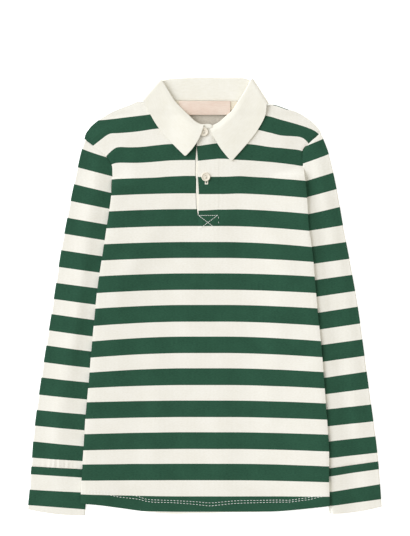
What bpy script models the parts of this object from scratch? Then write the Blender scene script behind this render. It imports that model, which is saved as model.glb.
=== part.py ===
"""A child's long-sleeved striped polo shirt, laid flat on its back with the buttons up.

Every cut piece is its own solid: a front with a slit for the placket, a back, two sleeves,
two cuffs, a folded collar, the two placket bands, a neck tape, a label and two buttons.
+X is the wearer's left, +Y runs from the hem to the collar, +Z is up. The back panel
rests on z = 0, and the origin is the middle of the shirt's footprint. Tables are in
millimetres.
"""
import math
from collections import namedtuple

import bmesh
import bpy
from mathutils import Matrix, Vector

MM = 0.001

# Cloth: wall thicknesses, and the gap that two pieces keep where they meet.
CLOTH = 1.2
CUFF_WALL = 1.35
TRIM = 1.0
GAP = 0.3
PLY = CLOTH + GAP

# Heights of the laid layers. The torso's sides lie on the sleeves' inner folds.
SLEEVE_EDGE = 3.0
SIDE_LIFT = SLEEVE_EDGE + GAP
SIDE_LEDGE = 2.0
SIDE_SLOPE = 16.0
UNDERARM_RISE = 14.0
FRONT_LEVEL = 3.0
NECK_LEVEL = 4.6
NECK_SPREAD = 60.0
# How far in from each edge the front takes to leave the back and reach its own level,
# and how much of that level it keeps along the armhole.
SIDE_EASE = 30.0
SHOULDER_EASE = 22.0
HEM_EASE = 40.0
ARMHOLE_EASE = 30.0
ARMHOLE_FREE = 0.35

# A sleeve's top: its height over the armhole edge and lower down, and the parts of its
# length over which the edge thickens, the puff rises, and the puff sinks to the cuff.
ARMHOLE_PUFF = 0.6
SLEEVE_PUFF = 1.5
EDGE_GROWTH = 0.06
PUFF_GROWTH = 0.12
PUFF_DECLINE = 0.15
CUFF_PUFF = 0.7
CUFF_DECLINE = 0.4
# Parts of the width: flat under the torso, then rising, and falling to the outer edge.
FLAT_UNDER_TORSO = 0.12
RISE_ACROSS = 0.3
FALL_ACROSS = 0.38

# The back panel climbs onto the collar's fall, which is folded under it.
COLLAR_STEP_START = 226.0
COLLAR_STEP_LENGTH = 11.0
# Extra height of what lies on the back where it climbs.
STEP_SPARE = 0.12

# The collar's fold: half the height between its front and back stands, and its roll.
STAND_HALF = 1.55
ROLL_RADIUS = PLY / 2
LEAF_OVER_PLACKET = 1.75
# The leaves climb onto the placket over one distance across it and one from their roll.
LEAF_CLIMB = 13.0
LEAF_CLIMB_START = 15.5
LEAF_ROLL_CLIMB = 5.5
# The wearer's right leaf and its roll also climb over the top button, which they half hide.
BUTTON_LIFT = 3.2
BUTTON_LIFT_REACH = 12.0
# A little more than the seam's gap, because both edges of the neck seam are curved.
NECK_GAP = 0.5
BACK_NECK_GAP = 0.85

# Placket: the slit in the front, and the striped band that covers it.
SLIT_RIGHT = -11.3
SLIT_LEFT = 16.9
SLIT_BOTTOM = 103.0
BAND_EDGE = -8.4
BAND_BOTTOM = 84.5
BAND_STEP = 12.2
BAND_STEP_LENGTH = 5.0
BAND_SPARE = 0.15

BUTTON_DIAMETER = 11.0
BUTTON_THICKNESS = 2.0
BUTTON_RIM = 0.5
BUTTON_RIM_WIDTH = 1.4
BUTTON_CHAMFER = 0.6
BUTTON_UNDERCUT = 1.2
BUTTON_SIDES = 24
BUTTON_HOLE = 1.5
BUTTON_HOLE_SPACING = 2.6
BUTTONS = {"button_neck": (-1.2, 206.5), "button_placket": (1.0, 151.2)}

# Label: its left, lower, right and upper edges. Cells are counted across and down.
LABEL_BOX = (-32.4, 228.9, 31.8, 246.2)
LABEL_CELLS = (8, 6)
TAPE_WIDTH = 12.4
TAPE_HALF_LENGTH = 60.0
TAPE_CELLS = (14, 4)

# One row for each height of the side seams, as distances from the centre line.
SideRow = namedtuple("SideRow", "y right left")
SIDE_SEAMS = (
    SideRow(-258.0, 155.5, 155.6),
    SideRow(-225.0, 153.9, 154.8),
    SideRow(-185.0, 151.5, 154.6),
    SideRow(-145.0, 148.9, 151.7),
    SideRow(-105.0, 145.1, 148.8),
    SideRow(-67.0, 142.0, 145.8),
    SideRow(-27.0, 138.2, 141.7),
    SideRow(12.0, 134.3, 138.0),
    SideRow(52.0, 128.3, 134.7),
    SideRow(90.0, 122.5, 129.5),
    SideRow(129.0, 117.0, 127.0),
    SideRow(152.5, 116.5, 124.4),
    SideRow(165.0, 116.5, 123.1),
)
UNDERARM_Y = {"right": 152.5, "left": 165.0}

# Plan points of each outline stretch: across is the distance from the centre line.
Point = namedtuple("Point", "across y")
ARMHOLE = {
    "right": (
        Point(116.5, 152.5),
        Point(116.2, 164.6),
        Point(122.2, 175.6),
        Point(130.8, 183.6),
        Point(139.6, 190.4),
        Point(150.9, 198.4),
    ),
    "left": (
        Point(123.1, 165.0),
        Point(121.6, 174.0),
        Point(121.2, 182.0),
        Point(123.8, 188.0),
        Point(130.2, 193.8),
        Point(145.0, 207.5),
    ),
}
SHOULDER = {
    "right": (
        Point(150.9, 198.4),
        Point(149.2, 205.2),
        Point(144.0, 212.8),
        Point(139.0, 217.9),
        Point(132.6, 222.9),
        Point(116.3, 232.5),
        Point(92.5, 241.9),
        Point(84.0, 245.4),
    ),
    "left": (
        Point(145.0, 207.5),
        Point(141.6, 212.5),
        Point(136.8, 217.5),
        Point(129.5, 223.8),
        Point(115.2, 232.2),
        Point(103.5, 235.9),
        Point(86.5, 241.6),
    ),
}
HEM = (
    Point(-155.5, -256.5),
    Point(-131.3, -258.8),
    Point(-106.3, -262.5),
    Point(-81.3, -266.3),
    Point(-46.0, -269.9),
    Point(0.0, -269.1),
    Point(36.0, -268.0),
    Point(62.0, -267.8),
    Point(93.8, -266.7),
    Point(131.3, -262.5),
    Point(155.6, -259.5),
)
HEM_FADE = 90.0

ARMHOLE_ROWS = 5

# Each sleeve between its outer edge and the fold that goes under the torso's side.
SLEEVE_OUTER = {
    "right": (
        Point(150.9, 198.4),
        Point(154.9, 185.0),
        Point(159.6, 163.8),
        Point(166.9, 129.4),
        Point(173.0, 97.5),
        Point(180.0, 60.0),
        Point(191.5, -15.0),
        Point(203.4, -90.0),
        Point(213.8, -165.0),
        Point(217.4, -210.6),
    ),
    "left": (
        Point(145.0, 207.5),
        Point(149.4, 197.5),
        Point(155.7, 178.8),
        Point(165.3, 134.8),
        Point(172.8, 90.6),
        Point(180.8, 48.5),
        Point(191.5, -12.4),
        Point(202.6, -94.0),
        Point(213.6, -174.8),
        Point(216.9, -204.3),
    ),
}
SLEEVE_FOLD = {
    "right": (
        Point(117.0, 152.5),
        Point(117.9, 138.0),
        Point(116.4, 118.0),
        Point(115.4, 97.5),
        Point(120.5, 52.0),
        Point(126.5, 12.0),
        Point(134.6, -67.0),
        Point(142.0, -145.0),
        Point(146.9, -214.4),
    ),
    "left": (
        Point(123.7, 165.0),
        Point(125.7, 150.5),
        Point(125.7, 131.0),
        Point(125.2, 107.0),
        Point(128.8, 65.0),
        Point(133.6, 12.0),
        Point(141.0, -53.0),
        Point(147.6, -130.0),
        Point(152.4, -213.2),
    ),
}
CUFF_OUTER = {
    "right": (Point(217.5, -210.9), Point(219.6, -240.0), Point(222.1, -264.2)),
    "left": (Point(216.9, -204.6), Point(219.2, -233.6), Point(221.1, -261.0)),
}
CUFF_INNER = {
    "right": (Point(146.9, -214.7), Point(148.0, -240.0), Point(150.2, -271.9)),
    "left": (Point(152.4, -213.5), Point(153.4, -240.0), Point(155.1, -269.9)),
}
CUFF_BOW = 2.2

# The front half of the collar, from the centre front to the shoulder corner: where it
# rolls, where its stand is sewn to the neckline, and the edge of its leaf.
COLLAR_ROLL = {
    "right": (
        Point(1.6, 215.2),
        Point(7.2, 216.6),
        Point(13.4, 220.2),
        Point(21.2, 227.8),
        Point(31.1, 237.4),
        Point(39.2, 246.5),
        Point(46.6, 258.4),
        Point(54.4, 271.2),
    ),
    "left": (
        Point(5.9, 212.2),
        Point(10.9, 215.0),
        Point(17.4, 218.2),
        Point(26.9, 226.4),
        Point(33.4, 232.0),
        Point(43.0, 245.8),
        Point(50.8, 258.0),
        Point(57.6, 271.6),
    ),
}
STAND_SEAM = {
    "right": (
        Point(5.3, 210.1),
        Point(11.3, 210.6),
        Point(25.0, 213.8),
        Point(40.0, 219.8),
        Point(54.0, 228.5),
        Point(64.0, 239.0),
        Point(71.8, 251.0),
    ),
    "left": (
        Point(8.6, 208.4),
        Point(16.9, 210.9),
        Point(29.5, 215.6),
        Point(43.5, 221.8),
        Point(57.0, 229.6),
        Point(66.6, 237.4),
        Point(73.1, 247.1),
    ),
}
LEAF_EDGE = {
    "right": (
        Point(24.3, 176.2),
        Point(41.0, 193.1),
        Point(57.2, 211.4),
        Point(68.3, 229.2),
        Point(76.2, 245.9),
    ),
    "left": (
        Point(33.0, 170.4),
        Point(52.9, 193.1),
        Point(65.7, 209.8),
        Point(75.0, 227.4),
        Point(77.0, 241.2),
    ),
}
LEAF_BOW = {"right": 3.2, "left": 2.6}
# The back half, from the right shoulder corner to the left one.
BACK_ROLL = (
    Point(-54.4, 271.2),
    Point(-44.0, 273.1),
    Point(-6.0, 274.8),
    Point(22.0, 274.3),
    Point(48.0, 274.1),
    Point(57.6, 271.6),
)
BACK_SEAM = (
    Point(-71.8, 251.0),
    Point(-55.5, 248.4),
    Point(-30.0, 247.1),
    Point(0.0, 246.9),
    Point(35.0, 246.4),
    Point(58.0, 245.8),
    Point(73.1, 247.1),
)
BACK_EDGE = (
    Point(-76.2, 245.9),
    Point(-58.0, 241.0),
    Point(0.0, 239.4),
    Point(60.0, 238.0),
    Point(77.0, 241.2),
)

# Upper end of the placket bands, between the two ends of the stand.
PLACKET_TOP = (
    Point(-11.0, 210.0),
    Point(-5.2, 206.8),
    Point(-2.2, 209.0),
    Point(0.8, 212.4),
    Point(3.4, 212.2),
    Point(6.2, 207.4),
    Point(9.4, 206.8),
    Point(16.6, 210.2),
)

# Soft folds of the front: the middle of each, its direction, half sizes and height.
Fold = namedtuple("Fold", "x y angle length width height")
FRONT_FOLDS = (
    Fold(-62.0, -150.0, 88.0, 110.0, 16.0, 1.1),
    Fold(20.0, -185.0, 94.0, 80.0, 18.0, 0.9),
    Fold(84.0, -95.0, 84.0, 120.0, 15.0, 1.0),
    Fold(-78.0, 62.0, 58.0, 70.0, 14.0, 1.2),
    Fold(88.0, 66.0, 118.0, 66.0, 14.0, 1.1),
    Fold(-18.0, -20.0, 92.0, 90.0, 20.0, 0.8),
)
# Soft folds along the sleeves: part way down, part way across, and the same sizes.
SleeveFold = namedtuple("SleeveFold", "down across half_down half_across height")
SLEEVE_FOLDS = (
    SleeveFold(0.16, 0.62, 0.16, 0.16, 0.9),
    SleeveFold(0.48, 0.45, 0.24, 0.14, 0.8),
    SleeveFold(0.80, 0.60, 0.18, 0.15, 0.7),
)
PUCKER_HEIGHT = 0.5
PUCKER_COUNT = 3
PUCKER_REACH = 0.07

SIGN = {"right": -1.0, "left": 1.0}
COLOURS = {
    "stripe_green": (0.026, 0.089, 0.054, 1.0),
    "off_white": (0.87, 0.85, 0.78, 1.0),
    "cream": (0.90, 0.89, 0.80, 1.0),
    "label_pink": (0.75, 0.55, 0.46, 1.0),
    "button_horn": (0.78, 0.70, 0.57, 1.0),
}


def smooth(t):
    """Ease from 0 to 1 with level ends."""
    t = min(max(t, 0.0), 1.0)
    return t * t * (3.0 - 2.0 * t)


def mix(a, b, t):
    return a + (b - a) * t


def plan_points(table, sign=1.0):
    """A table of plan points as vectors, on the side that the sign gives."""
    return [Vector((sign * p.across, p.y)) for p in table]


def curve_through(points, steps=6):
    """Points of a smooth curve that passes through the given ones."""
    curve = [points[0].copy()]
    for i in range(len(points) - 1):
        p0 = points[max(i - 1, 0)]
        p1, p2 = points[i], points[i + 1]
        p3 = points[min(i + 2, len(points) - 1)]
        span = (p2 - p1).length
        before = max((p1 - p0).length, span * 0.25)
        after = max((p3 - p2).length, span * 0.25)
        start = (p2 - p0) * (span / (before + span))
        end = (p3 - p1) * (span / (after + span))
        for k in range(1, steps + 1):
            t = k / steps
            curve.append(
                p1 * (2 * t**3 - 3 * t**2 + 1)
                + start * (t**3 - 2 * t**2 + t)
                + p2 * (3 * t**2 - 2 * t**3)
                + end * (t**3 - t**2)
            )
    return curve


def along(curve, fraction):
    """The point at a fraction of a curve's length."""
    lengths = [(b - a).length for a, b in zip(curve, curve[1:])]
    left = fraction * sum(lengths)
    for a, b, length in zip(curve, curve[1:], lengths):
        if left <= length:
            return a.lerp(b, left / length)
        left -= length
    return curve[-1].copy()


def distance_to(curve, point):
    """Distance from a plan point to a curve."""
    best = math.inf
    for a, b in zip(curve, curve[1:]):
        span = b - a
        t = min(max((point - a).dot(span) / span.length_squared, 0.0), 1.0)
        best = min(best, (point - a - span * t).length)
    return best


def height_at(curve, x):
    """The y of a curve that runs along X, at an x."""
    for a, b in zip(curve, curve[1:]):
        if a.x <= x <= b.x:
            return mix(a.y, b.y, (x - a.x) / (b.x - a.x))
    return curve[0].y if x < curve[0].x else curve[-1].y


def across_at(curve, y):
    """Distance from the centre line, at a y, of a curve that runs along Y."""
    for a, b in zip(curve, curve[1:]):
        if min(a.y, b.y) <= y <= max(a.y, b.y) and a.y != b.y:
            return abs(mix(a.x, b.x, (y - a.y) / (b.y - a.y)))
    nearest = min((curve[0], curve[-1]), key=lambda p: abs(p.y - y))
    return abs(nearest.x)


class Corner:
    """The collar's fold at one shoulder: a line from the neck's top to the leaf's end."""

    def __init__(self, side):
        self.top = plan_points(COLLAR_ROLL[side], SIGN[side])[-1]
        self.seam = plan_points(STAND_SEAM[side], SIGN[side])[-1]
        self.end = plan_points(LEAF_EDGE[side], SIGN[side])[-1]
        self.down = (self.end - self.top).normalized()
        self.out = Vector((self.down.y, -self.down.x)) * -SIGN[side]
        self.neck_point = self.seam + self.down * BACK_NECK_GAP
        self.crease_exit = self.end + self.down * NECK_GAP


NECKLINE_STEPS = 40


class Half:
    """The plan curves of one half of the torso, named for the wearer's side."""

    def __init__(self, side):
        sign = SIGN[side]
        self.side = side
        self.corner = Corner(side)
        rows = [r for r in SIDE_SEAMS if r.y <= UNDERARM_Y[side]]
        self.seam = curve_through([Vector((sign * getattr(r, side), r.y)) for r in rows])
        armhole = curve_through(plan_points(ARMHOLE[side], sign))
        self.armhole = [along(armhole, k / ARMHOLE_ROWS) for k in range(ARMHOLE_ROWS + 1)]
        leaving = [self.corner.crease_exit]
        self.shoulder = curve_through(plan_points(SHOULDER[side], sign) + leaving)
        self.fold = curve_through(plan_points(SLEEVE_FOLD[side] + CUFF_INNER[side][1:], sign))
        self.roll = curve_through(plan_points(COLLAR_ROLL[side], sign))
        self.stand = curve_through(plan_points(STAND_SEAM[side], sign))
        self.leaf = curve_through(plan_points(LEAF_EDGE[side], sign))
        self.slit = SLIT_RIGHT if side == "right" else SLIT_LEFT
        self.neckline = self.make_neckline()

    def make_neckline(self):
        """The front's neckline, a seam's gap outside the stand, from slit to shoulder."""
        line = []
        for k in range(NECKLINE_STEPS + 1):
            stand = along(self.stand, k / NECKLINE_STEPS)
            outward = (stand - along(self.roll, k / NECKLINE_STEPS)).normalized()
            line.append(stand + outward * NECK_GAP)
        beyond = [p for p in line if abs(p.x) > abs(self.slit) + 1.0]
        start = Vector((self.slit, across_start(line, self.slit)))
        return [start] + beyond


def across_start(line, x):
    """The y where a line first passes an x."""
    for a, b in zip(line, line[1:]):
        if (a.x - x) * (b.x - x) <= 0.0 and a.x != b.x:
            return mix(a.y, b.y, (x - a.x) / (b.x - a.x))
    return line[0].y


HALVES = {side: Half(side) for side in SIGN}
HEM_CURVE = curve_through(plan_points(HEM))
BACK_SEAM_CURVE = curve_through(plan_points(BACK_SEAM))


def half_of(x):
    return HALVES["right" if x < (SLIT_RIGHT + SLIT_LEFT) / 2 else "left"]


def neck_step(y):
    """How far the back panel is raised by the collar's fall under it."""
    return PLY * smooth((y - COLLAR_STEP_START) / COLLAR_STEP_LENGTH)


def over_back(point):
    """Height of a panel that lies on the back panel."""
    climbed = neck_step(point.y) / PLY
    return back_floor(point) + PLY + STEP_SPARE * 4.0 * climbed * (1.0 - climbed)


def neck_front_extra(y):
    """How much more the front of the neck is raised, over the label."""
    return neck_step(y) * 2.0 / 3.0


def side_lift(point, half):
    """How far the torso's side is raised by the sleeve under it."""
    underarm = UNDERARM_Y[half.side]
    if point.y >= underarm:
        return 0.0
    edge = across_at(half.seam, point.y)
    inside = edge - abs(point.x)
    underlap = max(edge - across_at(half.fold, point.y), 0.0)
    rise = smooth((underarm - point.y) / UNDERARM_RISE)
    return SIDE_LIFT * rise * (1.0 - smooth((inside - underlap - SIDE_LEDGE) / SIDE_SLOPE))


def back_floor(point):
    """Height of the back panel's underside at a plan point."""
    half = half_of(point.x)
    return max(side_lift(point, half), neck_step(point.y))


def fold_height(point):
    """Height that the soft folds add to the front."""
    total = 0.0
    for fold in FRONT_FOLDS:
        angle = math.radians(fold.angle)
        offset = point - Vector((fold.x, fold.y))
        lengthwise = offset.x * math.cos(angle) + offset.y * math.sin(angle)
        crosswise = offset.y * math.cos(angle) - offset.x * math.sin(angle)
        reach = (lengthwise / fold.length) ** 2 + (crosswise / fold.width) ** 2
        total += fold.height * math.exp(-reach)
    return total


def front_floor(point):
    """Height of the front panel's underside at a plan point."""
    half = half_of(point.x)
    touching = over_back(point)
    near_neck = 1.0 - smooth(distance_to(half.neckline, point) / NECK_SPREAD)
    level = FRONT_LEVEL + (NECK_LEVEL - FRONT_LEVEL + neck_front_extra(point.y)) * near_neck
    level = max(level + fold_height(point) * (1.0 - near_neck), touching)
    from_armhole = smooth(distance_to(half.armhole, point) / ARMHOLE_EASE)
    free = min(
        smooth(distance_to(half.seam, point) / SIDE_EASE),
        smooth(distance_to(half.shoulder, point) / SHOULDER_EASE),
        mix(ARMHOLE_FREE, 1.0, from_armhole),
        smooth((point.y - height_at(HEM_CURVE, point.x)) / HEM_EASE),
    )
    return mix(touching, level, free)


def material(name):
    """A plain cloth or button material."""
    found = bpy.data.materials.get(name)
    if found:
        return found
    made = bpy.data.materials.new(name)
    made.use_nodes = True
    shader = made.node_tree.nodes["Principled BSDF"]
    shader.inputs["Base Color"].default_value = COLOURS[name]
    shader.inputs["Roughness"].default_value = 0.35 if name == "button_horn" else 0.9
    shader.inputs["Metallic"].default_value = 0.0
    made.diffuse_color = COLOURS[name]
    return made


def finish(name, bm, colour, collection):
    """Turn a closed shape in millimetres into a named object in metres."""
    bmesh.ops.scale(bm, vec=(MM, MM, MM), verts=bm.verts)
    bmesh.ops.recalc_face_normals(bm, faces=bm.faces)
    mesh = bpy.data.meshes.new(name)
    bm.to_mesh(mesh)
    bm.free()
    mesh.materials.append(material(colour))
    mesh.shade_smooth()
    mesh.set_sharp_from_angle(angle=math.radians(40.0))
    made = bpy.data.objects.new(name, mesh)
    collection.objects.link(made)
    return made


def sheet_piece(name, rows, floor, wall, colour, collection, left_out=()):
    """A laid panel: rows of plan points at the floor's height, drawn up by the wall."""
    bm = bmesh.new()
    grid = [[bm.verts.new((p.x, p.y, floor(p))) for p in row] for row in rows]
    for i in range(len(grid) - 1):
        for j in range(len(grid[0]) - 1):
            if (i, j) not in left_out:
                corners = (grid[i][j], grid[i][j + 1], grid[i + 1][j + 1], grid[i + 1][j])
                bm.faces.new(corners)
    loose = [v for v in bm.verts if not v.link_faces]
    bmesh.ops.delete(bm, geom=loose, context="VERTS")
    raised = bmesh.ops.extrude_face_region(bm, geom=bm.faces[:])
    moved = [v for v in raised["geom"] if isinstance(v, bmesh.types.BMVert)]
    bmesh.ops.translate(bm, vec=(0.0, 0.0, wall), verts=moved)
    return finish(name, bm, colour, collection)


def lofted_piece(name, sections, closed_wall, colour, collection):
    """Join closed sections into a solid: capped, or a tube between two skins."""
    bm = bmesh.new()
    rings = [[bm.verts.new(p) for p in section] for section in sections]
    count = len(rings[0])
    for ring, following in zip(rings, rings[1:]):
        for k in range(count):
            after = (k + 1) % count
            if not (closed_wall and after % (count // 2) == 0):
                bm.faces.new((ring[k], ring[after], following[after], following[k]))
    if closed_wall:
        half = count // 2
        for ring, following in zip(rings, rings[1:]):
            for start in (0, half):
                last = start + half - 1
                bm.faces.new((ring[last], ring[start], following[start], following[last]))
        for ring in (rings[0], rings[-1]):
            for k in range(half):
                after = (k + 1) % half
                bm.faces.new((ring[k], ring[after], ring[half + after], ring[half + k]))
    else:
        for ring in (rings[0], rings[-1]):
            pairs = count // 2
            for k in range(pairs - 1):
                opposite = count - 1 - k
                bm.faces.new((ring[k], ring[k + 1], ring[opposite - 1], ring[opposite]))
    return finish(name, bm, colour, collection)


# Columns of a torso half, as distances from its outer edge; the rest are even.
EDGE_COLUMNS = (0.0, 5.0, 11.0, 19.0, 30.0)
FULL_HALF_WIDTH = 110.0


def half_row(outer, inner, even_columns):
    """Plan points from a half's outer edge to its inner one."""
    length = (inner - outer).length
    scale = min(1.0, length / FULL_HALF_WIDTH)
    steps = [d * scale for d in EDGE_COLUMNS]
    start = steps[-1]
    steps += [mix(start, length, (k + 1) / even_columns) for k in range(even_columns)]
    direction = (inner - outer).normalized()
    return [outer + direction * s for s in steps]


def hem_shift(x, y):
    """How far a row near the hem follows the hem's curve."""
    shift = height_at(HEM_CURVE, x) - SIDE_SEAMS[0].y
    return shift * (1.0 - smooth((y - SIDE_SEAMS[0].y) / HEM_FADE))


def body_levels(top, count):
    """Row heights from the hem up to a level."""
    bottom = SIDE_SEAMS[0].y
    return [mix(bottom, top, k / count) for k in range(count + 1)]


def outer_point(half, y):
    return Vector((SIGN[half.side] * across_at(half.seam, y), y))


def shoulder_point(half, row):
    """Outer end of a shoulder row; the last one is inside the collar's fold."""
    if row == SHOULDER_ROWS:
        return half.corner.neck_point
    return along(half.shoulder, row / (SHOULDER_ROWS - 1))


def torso_rows(half, inner_x, neckline, body, armhole_rows, shoulder_rows, even_columns):
    """Rows of one half from hem to neck, each from the outer edge to the inner one."""
    rows = []
    for y in body:
        row = half_row(outer_point(half, y), Vector((inner_x, y)), even_columns)
        rows.append([Vector((p.x, p.y + hem_shift(p.x, p.y))) for p in row])
    neck_y = neckline[0].y
    for k in range(1, armhole_rows + 1):
        outer = along(half.armhole, k / armhole_rows)
        inner = Vector((inner_x, mix(body[-1], neck_y, k / armhole_rows)))
        rows.append(half_row(outer, inner, even_columns))
    for k in range(1, shoulder_rows + 1):
        inner = along(neckline, k / shoulder_rows)
        rows.append(half_row(shoulder_point(half, k), inner, even_columns))
    return rows


def joined_rows(right, left):
    """Rows across the whole torso, from the wearer's right edge to the left one."""
    return [a + b[::-1] for a, b in zip(right, left)]


LOWER_ROWS = 16
SLIT_ROWS = 4
SHOULDER_ROWS = 8
# Height of the back's centre at the level of its shoulder points, and how much closer
# the rows above it get towards the neck.
YOKE_Y = 206.0
YOKE_CROWDING = 1.4
FRONT_EVEN_COLUMNS = 4
BACK_EVEN_COLUMNS = 3


def body_rows_for(half):
    """Row heights of one half up to its underarm, with one at the slit's bottom."""
    lower = body_levels(SLIT_BOTTOM, LOWER_ROWS)
    underarm = UNDERARM_Y[half.side]
    bend = underarm - UNDERARM_RISE
    upper = [mix(SLIT_BOTTOM, bend, k / (SLIT_ROWS - 1)) for k in range(1, SLIT_ROWS)]
    return lower + upper + [underarm]


def make_front(collection):
    """The front panel, slit from the neckline to the placket's bottom."""
    halves = []
    for side in ("right", "left"):
        half = HALVES[side]
        levels = body_rows_for(half)
        halves.append(
            torso_rows(
                half, half.slit, half.neckline, levels, ARMHOLE_ROWS, SHOULDER_ROWS,
                FRONT_EVEN_COLUMNS,
            )
        )
    rows = joined_rows(*halves)
    slit_column = len(halves[0][0]) - 1
    slit_cells = {(i, slit_column) for i in range(LOWER_ROWS, len(rows) - 1)}
    sheet_piece("front", rows, front_floor, CLOTH, "off_white", collection, slit_cells)


def back_neckline(side, centre):
    """The back's neckline, a seam's gap below the stand, from the centre outwards."""
    corner = HALVES[side].corner
    line = [p - Vector((0.0, BACK_NECK_GAP)) for p in BACK_SEAM_CURVE]
    inside = [p for p in line if abs(p.x) < abs(corner.seam.x) - 1.0]
    if side == "right":
        inside = [p for p in reversed(inside) if p.x < centre - 1.0]
    else:
        inside = [p for p in inside if p.x > centre + 1.0]
    start = Vector((centre, height_at(line, centre)))
    return [start] + inside + [corner.neck_point]


def make_back(collection):
    """The back panel, whole from side to side, up to the collar's stand."""
    centre = (SLIT_RIGHT + SLIT_LEFT) / 2
    halves = []
    for side in ("right", "left"):
        half = HALVES[side]
        levels = body_rows_for(half)
        neckline = back_neckline(side, centre)
        neck_y = neckline[0].y
        yoke = Vector((centre, YOKE_Y))
        rows = torso_rows(half, centre, [yoke], levels, ARMHOLE_ROWS, 0, BACK_EVEN_COLUMNS)
        for k in range(1, SHOULDER_ROWS + 1):
            outer = shoulder_point(half, k)
            up = k / SHOULDER_ROWS
            inner = Vector((centre, mix(YOKE_Y, neck_y, up**YOKE_CROWDING)))
            rows.append(neck_row(outer, inner, neckline, up))
        halves.append(rows)
    rows = [a + b[::-1][1:] for a, b in zip(*halves)]
    sheet_piece("back", rows, back_floor, CLOTH, "off_white", collection)


def neck_row(outer, inner, neckline, towards):
    """A row that takes on the neckline's bend as it nears it."""
    curved = []
    for point in half_row(outer, inner, BACK_EVEN_COLUMNS):
        fraction = (point - inner).length / (outer - inner).length
        chord = neckline[0].lerp(neckline[-1], fraction)
        curved.append(point + (along(neckline, fraction) - chord) * smooth(towards) ** 2)
    return curved


def path_across(start, end, bow_curve, weight, bow):
    """A function of 0 to 1 from a sleeve's inner fold to its outer edge, in plan."""
    chord = end - start
    side = Vector((chord.y, -chord.x)).normalized()
    if side.y > 0.0:
        side = -side

    def at(t):
        point = start + chord * t
        if bow_curve:
            shape = along(bow_curve, t)
            base = bow_curve[0].lerp(bow_curve[-1], t)
            point = point + (shape - base) * weight
        return point + side * (bow * 4.0 * t * (1.0 - t))

    return at


TOP_STEPS = (0.0, 0.08, 0.18, 0.28, 0.38, 0.48, 0.58, 0.68, 0.78, 0.88, 1.0)
BOTTOM_STEPS = (1.0, 0.78, 0.5, 0.22, 0.0)
ROLL_STEPS = (45.0, 90.0, 135.0)


def tube_section(at, edge, wall, top_height):
    """The two skins of a flattened tube across a path: outer points, then inner ones."""
    start, end = at(0.0), at(1.0)
    width = (end - start).length
    radius = edge / 2
    outward = (end - start).normalized()
    skins = []
    for inset in (0.0, wall):
        skin = []
        for t in TOP_STEPS:
            place = at(mix(radius / width, 1.0 - radius / width, t))
            skin.append((place.x, place.y, top_height(t) - inset))
        skin += roll_points(at(1.0 - radius / width), outward, radius, inset)
        for t in BOTTOM_STEPS:
            place = at(mix(radius / width, 1.0 - radius / width, t))
            skin.append((place.x, place.y, inset))
        low_roll = roll_points(at(radius / width), -outward, radius, inset)
        skin += low_roll[::-1]
        skins += skin
    return skins


def roll_points(centre, outward, radius, inset):
    """The rounded edge of a flattened tube, from its top to its bottom."""
    points = []
    for degrees in ROLL_STEPS:
        angle = math.radians(90.0 - degrees)
        reach = (radius - inset) * math.cos(angle)
        place = centre + outward * reach
        points.append((place.x, place.y, radius + (radius - inset) * math.sin(angle)))
    return points


SLEEVE_RINGS = 17
# The rings stand a little closer together near the armhole.
RING_CROWDING = 1.15
ARMHOLE_GAP = 0.7
BOW_FADE = 0.3


def rise_across(t):
    """Part of a sleeve's puff that is reached at a part of its width."""
    return smooth((t - FLAT_UNDER_TORSO) / RISE_ACROSS) * smooth((1.0 - t) / FALL_ACROSS)


def sleeve_edge(down):
    """Thickness of a sleeve's folded edge, part way down it."""
    return mix(2 * CLOTH + GAP, SLEEVE_EDGE, smooth(down / EDGE_GROWTH))


def sleeve_top(down):
    """Height of a sleeve's upper face as a function of the way across it."""
    puff = mix(ARMHOLE_PUFF, SLEEVE_PUFF, smooth(down / PUFF_GROWTH))
    puff *= mix(1.0, 0.5, smooth((down - (1.0 - PUFF_DECLINE)) / PUFF_DECLINE))

    def height(t):
        rise = rise_across(t)
        top = sleeve_edge(down) + puff * rise
        for fold in SLEEVE_FOLDS:
            reach = ((down - fold.down) / fold.half_down) ** 2
            reach += ((t - fold.across) / fold.half_across) ** 2
            top += fold.height * math.exp(-reach) * rise
        pucker = smooth((down - (1.0 - PUCKER_REACH)) / PUCKER_REACH)
        top += PUCKER_HEIGHT * pucker * rise * math.sin(math.pi * PUCKER_COUNT * t) ** 2
        return top

    return height


def make_sleeve(side, collection):
    """One sleeve, a flattened tube from the armhole to the cuff."""
    half = HALVES[side]
    sign = SIGN[side]
    outer = curve_through(plan_points(SLEEVE_OUTER[side], sign))
    fold = curve_through(plan_points(SLEEVE_FOLD[side], sign))
    chord = half.armhole[-1] - half.armhole[0]
    away = Vector((chord.y, -chord.x)).normalized()
    if away.y > 0.0:
        away = -away
    sections = []
    for ring in range(SLEEVE_RINGS + 1):
        down = (ring / SLEEVE_RINGS) ** RING_CROWDING
        gap = away * ARMHOLE_GAP * (1.0 - smooth(down / EDGE_GROWTH))
        start = along(fold, down) + gap
        end = along(outer, down) + gap
        weight = 1.0 - smooth(down / BOW_FADE)
        at = path_across(start, end, half.armhole, weight, 0.0)
        sections.append(tube_section(at, sleeve_edge(down), CLOTH, sleeve_top(down)))
    lofted_piece("sleeve_" + side, sections, True, "off_white", collection)


CUFF_RINGS = 4


def cuff_top(down):
    """Height of a cuff's upper face as a function of the way across it."""
    puff = CUFF_PUFF * (1.0 - CUFF_DECLINE * down)

    def height(t):
        return SLEEVE_EDGE + puff * rise_across(t)

    return height


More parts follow.
